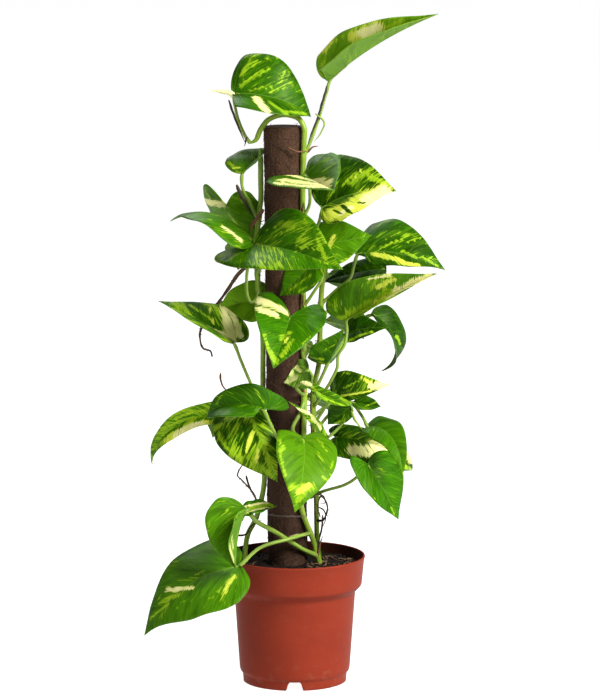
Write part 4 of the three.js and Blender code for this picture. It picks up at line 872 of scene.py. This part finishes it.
def makeLeaf(order, leaf):
    name = leaf["name"]
    leaf["phase"] = order * blade["leafLag"]
    leaf["strokes"] = backStrokes if leaf["vine"] == "back" else leafStrokes.get(name, {})
    sheet, shape = makeBlade(leaf)
    parts = [sheet, makePetiole(leaf, shape)]
    if name == youngLeaf["on"]:
        parts.append(makeBlade(youngLeaf)[0])
    if name == paleSheath["on"]:
        parts.append(strip("pale", 2, paleSheath["path"], paleSheath["width"], 1.0))
    makePiece(f"blade_{name}", parts, [leafSkin, skins["petiole"], skins["paleSheath"]], [f"leaf_{name}"])


for order, leaf in enumerate(leaves):
    makeLeaf(order, leaf)
for name, skin in (("right", "stemGreen"), ("left", "stemOld"), ("side", "stemGreen"), ("back", "stemOld")):
    makeStem(name, skin)


print("aerial roots")
rootLook = {"wander": (0.5, 0.3, 0.4), "lumps": 0.22, "thin": 0.6, "sides": 10, "stubs": 26,
            "stubReach": (2.0, 4.5), "stubWidths": (0.5, 0.14)}
roots = [  # name, stem, height of its joint, radius, path
    ("left", "left", 446, 2.3,
     [(-48, 8, 448), (-58, 12, 441), (-70, 14, 424), (-84, 14, 404), (-94, 13, 390), (-100, 10, 380),
      (-101, 8, 369), (-97, 6, 360), (-90, 6, 357), (-88, 6, 351)]),
    ("low_left", "left", 186, 1.4,
     [(-40, 1, 194), (-44, -2, 204), (-56, -4, 219), (-61, -5, 224), (-57, -6, 234), (-50, -8, 240)]),
    ("right", "side", 172, 1.4,
     [(31, -4, 176), (35, -6, 188), (32, -8, 199), (28, -12, 203), (25, -12, 192), (27, -13, 180)]),
]
for name, vine, joint, radius, points in roots:
    curve = stemCurves[vine]
    path = smoothPath([curve[placeAtHeight(curve, joint)], *points], 1.2)
    draw = random.Random(joint)
    path = path + waviness(path, 7.0, joint)[:, None] * rootLook["wander"]
    share = np.linspace(0, 1, len(path))
    radii = radius * (1 - rootLook["thin"] * share) * (1 + rootLook["lumps"] * waviness(path, 2.4, 3 + joint))
    parts = [tube(0, path, radii, rootLook["sides"], joint * 0.1, 0.06)]
    for _ in range(rootLook["stubs"]):
        at = draw.randrange(4, len(path) - 2)
        way = np.array([draw.gauss(0, 1), draw.gauss(0, 1), draw.gauss(0, 1)])
        way *= draw.uniform(*rootLook["stubReach"]) / np.linalg.norm(way)
        stub = smoothPath([path[at], path[at] + way * 0.6, path[at] + way + [0, 0, -0.5]], 0.9)
        parts.append(tube(0, stub, np.linspace(*rootLook["stubWidths"], len(stub)), 5, draw.random()))
    makePiece(f"rootlet_{name}", parts, [skins["root"]], [f"aerial_root_{name}"])


print("pole")
coir = {"deep": tint(30, 18, 13), "brown": tint(58, 38, 27), "warm": tint(80, 56, 40), "straw": tint(116, 90, 66)}


def makePoleSkin():
    # matted fibre: fine grains, pits painted darker as painted shade, short strands over them, damp blotches, and
    # darker towards the bottom
    shader = Shader("coirSkin")
    height = shader.height()
    grain = shader.noise(shader.place(0.42, 0.42, 0.42), 1.0, 7, 0.8, 0.4)
    strand = shader.noise(shader.place(0.8, 0.8, 0.5), 1.0, 5, 0.7, 1.2)
    shadedPits = shader.cells(shader.place(0.36, 0.36, 0.36))
    damp = shader.noise(shader.place(0.03, 0.03, 0.02), 1.0, 2)
    stops = [(0.3, coir["deep"]), (0.46, coir["brown"]), (0.6, coir["warm"]), (0.76, coir["straw"])]
    colour = shader.add("ValToRGB", {"stops": stops}, {0: grain * 0.6 + strand * 0.4})
    # painted shade: the pits are darkened as if shade fell in them; the colour also darkens towards the bottom
    colour = shader.layers(coir, colour, ((1 - shadedPits).between(0.7, 0.95) * 0.75, "deep"),
                           (damp.between(0.45, 0.7) * 0.4 + (1 - height.between(120, 420)) * 0.35, "deep"))
    bumpy = shader.bump(grain + strand * 0.4 + shadedPits * 0.5, 0.6, 0.9)
    return shader.surface(Base_Color=colour, Roughness=0.8 + grain * 0.2, Normal=bumpy, Specular_IOR_Level=0.15)


coirSkin = makePoleSkin()


def coirShape(places):
    radial = places[:, :2] / np.maximum(np.linalg.norm(places[:, :2], axis=1), 1e-6)[:, None]
    rough = waviness(np.column_stack([radial * 60, places[:, 2] * 0.8]), 9.0, 11)
    fine = waviness(np.column_stack([radial * 60, places[:, 2]]), 3.2, 12)
    places[:, :2] += radial * (pole["relief"] * (0.7 * rough + 0.5 * fine))[:, None]
    places[:, 0] += poleCentre(places[:, 2])
    return places


def makePole():
    foot, top = pole["foot"][1], pole["top"][1]
    radius, levels = pole["radius"], pole["levels"]
    crown = [(radius * share, top + pole["crown"] * (1 - share**2) - pole["crownDrop"])
             for share in pole["crownRings"]]
    wall = [(radius, foot + (top - 0.8 - foot) * level / levels) for level in range(levels + 1)]
    parts = [(*turned([(0, foot), *wall, *crown], pole["sides"], coirShape), 0, {})]
    draw = random.Random(41)
    for _ in range(pole["fibres"]):
        start, length = draw.uniform(foot + pole["fibreFrom"], top - 4), draw.uniform(*pole["fibreLength"])
        angle, slant = draw.uniform(0, 2 * math.pi), draw.gauss(0, pole["fibreSlant"])
        lift, wander, points = draw.uniform(0, pole["fibreLift"]), draw.uniform(-1, 1), []
        for t in np.linspace(0, 1, pole["fibrePoints"]):
            height = start + length * t * math.cos(slant)
            turn = angle + length * t * math.sin(slant) / radius + 0.05 * wander * math.sin(5 * t)
            out = radius + 0.1 + lift * math.sin(math.pi * t) + 0.25 * math.sin(9 * t + wander)
            height = min(height, top + 1.0)
            points.append([out * math.cos(turn) + poleCentre(height), out * math.sin(turn), height])
        width = pole["fibreRadius"] * draw.uniform(0.6, 1.5)
        parts.append(tube(1, np.array(points), width, 4, draw.random()))
    makePiece("coir_pole", parts, [coirSkin, skins["coirStrand"]], ["pole"], 60)


makePole()


print("pot")
pot = {  # profiles are (radius, height) pairs
    "sides": 192, "floor": (10.0, 11.6), "footRadius": 55.8, "footInside": 53,
    "notchTop": 13.0, "notchBottom": 18.5, "notchHeight": 9.5,
    "under": [(30.0, 10.0), (52.4, 10.0), (53.4, 9.4), (54.0, 1.0)],
    "outer": [(54.2, 0.0), (54.9, 0.0), (55.6, 0.35), (55.85, 1.0), (56.1, 5.0), (56.35, 8.8), (56.6, 9.6),
              (57.4, 10.6), (58.4, 12.0), (59.0, 14.0), (59.3, 16.4), (60.4, 32.0), (61.8, 52.0), (63.3, 74.0),
              (64.7, 94.0), (65.0, 97.4), (65.5, 98.6), (67.4, 100.6), (70.2, 103.6), (71.5, 105.1),
              (72.0, 106.4), (72.8, 115.0), (73.8, 126.0), (74.6, 133.4), (75.0, 134.2), (75.3, 134.9),
              (75.35, 136.0), (75.1, 136.7), (74.6, 137.0)],
    "inner": [(73.9, 137.0), (73.4, 136.7), (73.2, 136.1), (70.6, 106.6), (69.6, 104.6), (64.4, 99.2),
              (63.5, 97.6), (57.8, 17.0), (56.4, 13.4), (53.2, 11.8), (30.0, 11.6)],
}


terracotta = {"deep": tint(108, 36, 21), "light": tint(128, 45, 27), "scuff": tint(170, 96, 72),
              "dust": tint(124, 78, 60), "stainAndShade": tint(46, 24, 16), "shade": tint(74, 22, 12)}


def makePotSkin():
    # satin moulded plastic: faint mottling, fine scuffs, dust low down, a painted shade band under the collar, and
    # the inside darker with stain and painted shade
    shader = Shader("potPlastic")
    height = shader.height()
    inside = shader.attribute("inside")[0]
    cloud = shader.noise(shader.place(0.02, 0.02, 0.03), 1.0, 4)
    grain = shader.noise(shader.place(2.2, 2.2, 2.2), 1.0, 2)
    scuff = shader.noise(shader.place(0.12, 0.12, 1.6), 1.0, 4, 0.6)
    dust = shader.noise(shader.place(0.09, 0.09, 0.12), 1.0, 4)
    low = 1 - height.between(2, 45)
    # painted shade: a darker band on the ramp under the collar, where the floor's glow would light it
    paintedLedgeShade = height.between(95, 99) * (1 - height.between(104, 107.5)) * (1 - inside)
    # the inside is darkened by stain and by painted shade
    colour = shader.layers(terracotta, terracotta["deep"], (cloud, "light"),
                           (scuff.between(0.6, 0.72) * 0.16, "scuff"),
                           (dust.between(0.5, 0.75) * (low * 0.35 + 0.06), "dust"),
                           (paintedLedgeShade * 0.2, "shade"), (inside * (0.72 + dust * 0.3), "stainAndShade"))
    bumpy = shader.bump(grain * 0.5 + cloud, 0.12, 0.35)
    roughness = 0.46 + cloud * 0.1 + scuff.between(0.55, 0.75) * 0.15
    return shader.surface(Base_Color=colour, Roughness=roughness, Normal=bumpy, Specular_IOR_Level=0.06)


def cutNotches(places):
    # lifts the foot's lower edge in four places
    angle = np.arctan2(places[:, 1], places[:, 0])
    width = np.abs((angle + math.pi / 4) % (math.pi / 2) - math.pi / 4) * pot["footRadius"]
    slope = (pot["notchBottom"] - pot["notchTop"]) / 2 / pot["notchHeight"]
    reach = np.clip((pot["notchBottom"] / 2 - width) / slope, 0, pot["notchHeight"])
    away = np.hypot(places[:, 0], places[:, 1])
    foot = (places[:, 2] < pot["notchHeight"]) & (away > pot["footInside"])
    places[:, 2] = np.where(foot, np.maximum(places[:, 2], reach), places[:, 2])
    return places


def makePot():
    outside = [*pot["under"], *pot["outer"]]
    profile = [(0, pot["floor"][0]), *outside, *pot["inner"], (0, pot["floor"][1])]
    places, faces = turned(profile, pot["sides"], cutNotches)
    ring = (np.arange(len(places)) - 1) // pot["sides"]
    inside = (ring > len(outside) + 1) * 1.0
    kept = {"inside": np.stack([inside, 0 * inside, 0 * inside], 1)}
    makePiece("nursery_pot", [(places, faces, 0, kept)], [makePotSkin()], ["pot"], 50)


makePot()


print("soil")
golden = 1.618
soil = {
    "height": 127.0, "radius": 71.0, "rings": 74, "sides": 220, "heap": 2.5,
    "crumbs": 520, "crumbReach": 0.97, "leastCrumb": 0.3, "mostCrumb": 2.6,
    "strands": 34, "strandSteps": 6, "strandStep": 3.2, "strandWidth": (0.25, 0.6), "strandReach": 0.9,
    "rightAngles": (-0.9, 0.7), "rightReach": (0.45, 0.85),
    "wall": [(0, 12.0), (53.0, 12.0), (57.0, 18.0), (62.8, 98.0), (69.2, 106.5)],
    "crumb": ([(x, 0, z) for z in (golden, -golden) for x in (-1, 1)]
              + [(0, y, z) for y in (golden, -golden) for z in (1, -1)]
              + [(x, y, 0) for y in (1, -1) for x in (golden, -golden)]),
    "crumbFaces": [[0, 4, 1], [0, 9, 4], [9, 5, 4], [4, 5, 8], [4, 8, 1], [8, 10, 1], [8, 3, 10], [5, 3, 8],
                   [5, 2, 3], [2, 7, 3], [7, 10, 3], [7, 6, 10], [7, 11, 6], [11, 0, 6], [0, 1, 6], [6, 1, 10],
                   [9, 0, 11], [9, 11, 2], [9, 2, 5], [7, 2, 11]],
}


peat = {"black": tint(12, 9, 6), "dark": tint(26, 19, 14), "brown": tint(46, 34, 25), "crumb": tint(60, 46, 34)}


def makeSoilSkin():
    shader = Shader("pottingSoil")
    clod = shader.noise(shader.place(0.22, 0.22, 0.22), 1.0, 5, 0.65)
    speck = shader.cells(shader.place(0.7, 0.7, 0.7))
    stops = [(0.3, peat["black"]), (0.5, peat["dark"]), (0.72, peat["brown"])]
    colour = shader.add("ValToRGB", {"stops": stops}, {0: clod})
    colour = shader.layers(peat, colour, ((1 - speck).between(0.78, 0.95) * 0.45, "crumb"))
    bumpy = shader.bump(clod + speck * -0.3, 1.0, 0.9)
    return shader.surface(Base_Color=colour, Roughness=0.86 + clod * 0.12, Normal=bumpy, Specular_IOR_Level=0.08)


def soilTop(x, y):
    spot = np.stack([x, y], -1)
    rough = waviness(spot, 16.0, 5) * 1.3 + waviness(spot, 4.5, 6) * 0.9 + waviness(spot, 1.6, 7) * 0.4
    return soil["height"] + soil["heap"] * (1 - np.hypot(x, y) / soil["radius"]) + rough


def heaped(places):
    top = places[:, 2] > soil["height"] - 0.5
    places[:, 2] = np.where(top, soilTop(places[:, 0], places[:, 1]), places[:, 2])
    return places


def makeSoil():
    rings = [(soil["radius"] * ring / soil["rings"], soil["height"]) for ring in range(soil["rings"], 0, -1)]
    parts = [(*turned([*soil["wall"], *rings, (0, soil["height"])], soil["sides"], heaped), 0, {})]
    draw = random.Random(52)
    corners = np.array(soil["crumb"])
    for _ in range(soil["crumbs"]):
        far, angle = soil["radius"] * soil["crumbReach"] * draw.random()**0.5, draw.uniform(0, 2 * math.pi)
        x, y = far * math.cos(angle), far * math.sin(angle)
        size = min(draw.expovariate(1.6) + soil["leastCrumb"], soil["mostCrumb"])
        lump = corners * [draw.uniform(0.3, 0.7), draw.uniform(0.3, 0.7), draw.uniform(0.25, 0.5)]
        lump = lump * np.array([[draw.uniform(0.75, 1.2)] for _ in corners]) * size
        parts.append((lump + [x, y, float(soilTop(x, y)) + size * 0.25], soil["crumbFaces"], 0, {}))
    for strand in range(soil["strands"]):
        angle, far = draw.uniform(0, 2 * math.pi), soil["radius"] * soil["strandReach"] * draw.random()**0.5
        if strand % 2:  # half of them lie on the right, where the roots come up
            angle, far = draw.uniform(*soil["rightAngles"]), soil["radius"] * draw.uniform(*soil["rightReach"])
        x, y, way, points = far * math.cos(angle), far * math.sin(angle), draw.uniform(0, 6.3), []
        for _ in range(soil["strandSteps"]):
            way += draw.gauss(0, 0.5)
            x, y = x + soil["strandStep"] * math.cos(way), y + soil["strandStep"] * math.sin(way)
            if math.hypot(x, y) > soil["radius"] - 1:
                break
            points.append([x, y, float(soilTop(x, y)) + 0.4 + draw.uniform(-0.6, 1.2)])
        if len(points) > 2:
            parts.append(tube(1, smoothPath(points, 1.5), draw.uniform(*soil["strandWidth"]), 5, draw.random()))
    makePiece("potting_soil", parts, [makeSoilSkin(), skins["soilRoot"]], ["soil"])


makeSoil()


print("band")
film = {"deep": tint(74, 66, 56), "light": tint(112, 104, 92)}


def makeBandSkin():
    # hazy clear film
    shader = Shader("bandPlastic")
    cloud = shader.noise(shader.place(0.3, 0.3, 1.0), 1.0, 3)
    colour = shader.mix(cloud, film["deep"], film["light"])
    return shader.surface(Base_Color=colour, Roughness=0.25 + cloud * 0.15, Alpha=0.1 + cloud * 0.2,
                          Normal=shader.bump(cloud, 0.1, 0.4))


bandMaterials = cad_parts["band_low"].data.materials
bandMaterials.clear()
bandMaterials.append(makeBandSkin())


print("floor, light and camera")
studio = {
    "floorReach": 30.0, "floorGlow": 0.95, "world": 0.12,
    "lens": 3896 * 36 / 700, "sensor": 36, "camera": (0.0056, -4.1, 0.98), "tilt": 8.615,
    "lights": [("key", (2.0, -1.7, 2.2), 0.38, 1.8, 250), ("fill", (-2.0, -1.6, 1.4), 0.36, 1.4, 8),
               ("back", (-0.7, 1.9, 2.3), 0.4, 1.6, 34)],  # name, place, height aimed at, size, power
}


def makeStage():
    reach = studio["floorReach"]
    mesh = bpy.data.meshes.new("floor")
    mesh.from_pydata([(-reach, -reach, 0), (reach, -reach, 0), (reach, reach, 0), (-reach, reach, 0)], [],
                     [(0, 1, 2, 3)])
    shader = Shader("paleFloor")
    mesh.materials.append(shader.surface(Base_Color=tint(150, 150, 150), Roughness=0.8, Specular_IOR_Level=0.2,
                                         Emission_Color=(1, 1, 1, 1), Emission_Strength=studio["floorGlow"]))
    floor = addToScene("floor", mesh)
    world = bpy.data.worlds.new("studio")
    world.use_nodes = True
    colour, strength, *_ = world.node_tree.nodes["Background"].inputs
    colour.default_value, strength.default_value = (1, 1, 1, 1), studio["world"]
    bpy.context.scene.world = world


def makeLight(name, place, target, size, power):
    lamp = bpy.data.lights.new(name, "AREA")
    lamp.shape, lamp.size, lamp.energy = "DISK", size, power
    light = addToScene(name, lamp)
    light.location = place
    light.rotation_euler = (Vector((0, 0, target)) - Vector(place)).to_track_quat("-Z", "Y").to_euler()


def makeCamera():
    lens = bpy.data.cameras.new("camera")
    lens.lens, lens.sensor_width = studio["lens"], studio["sensor"]
    camera = addToScene("camera", lens)
    camera.location = studio["camera"]
    camera.rotation_euler = (math.radians(90 - studio["tilt"]), 0, 0)
    bpy.context.scene.camera = camera


makeStage()
for light in studio["lights"]:
    makeLight(*light)
makeCamera()
bpy.context.scene.view_settings.view_transform = "Standard"
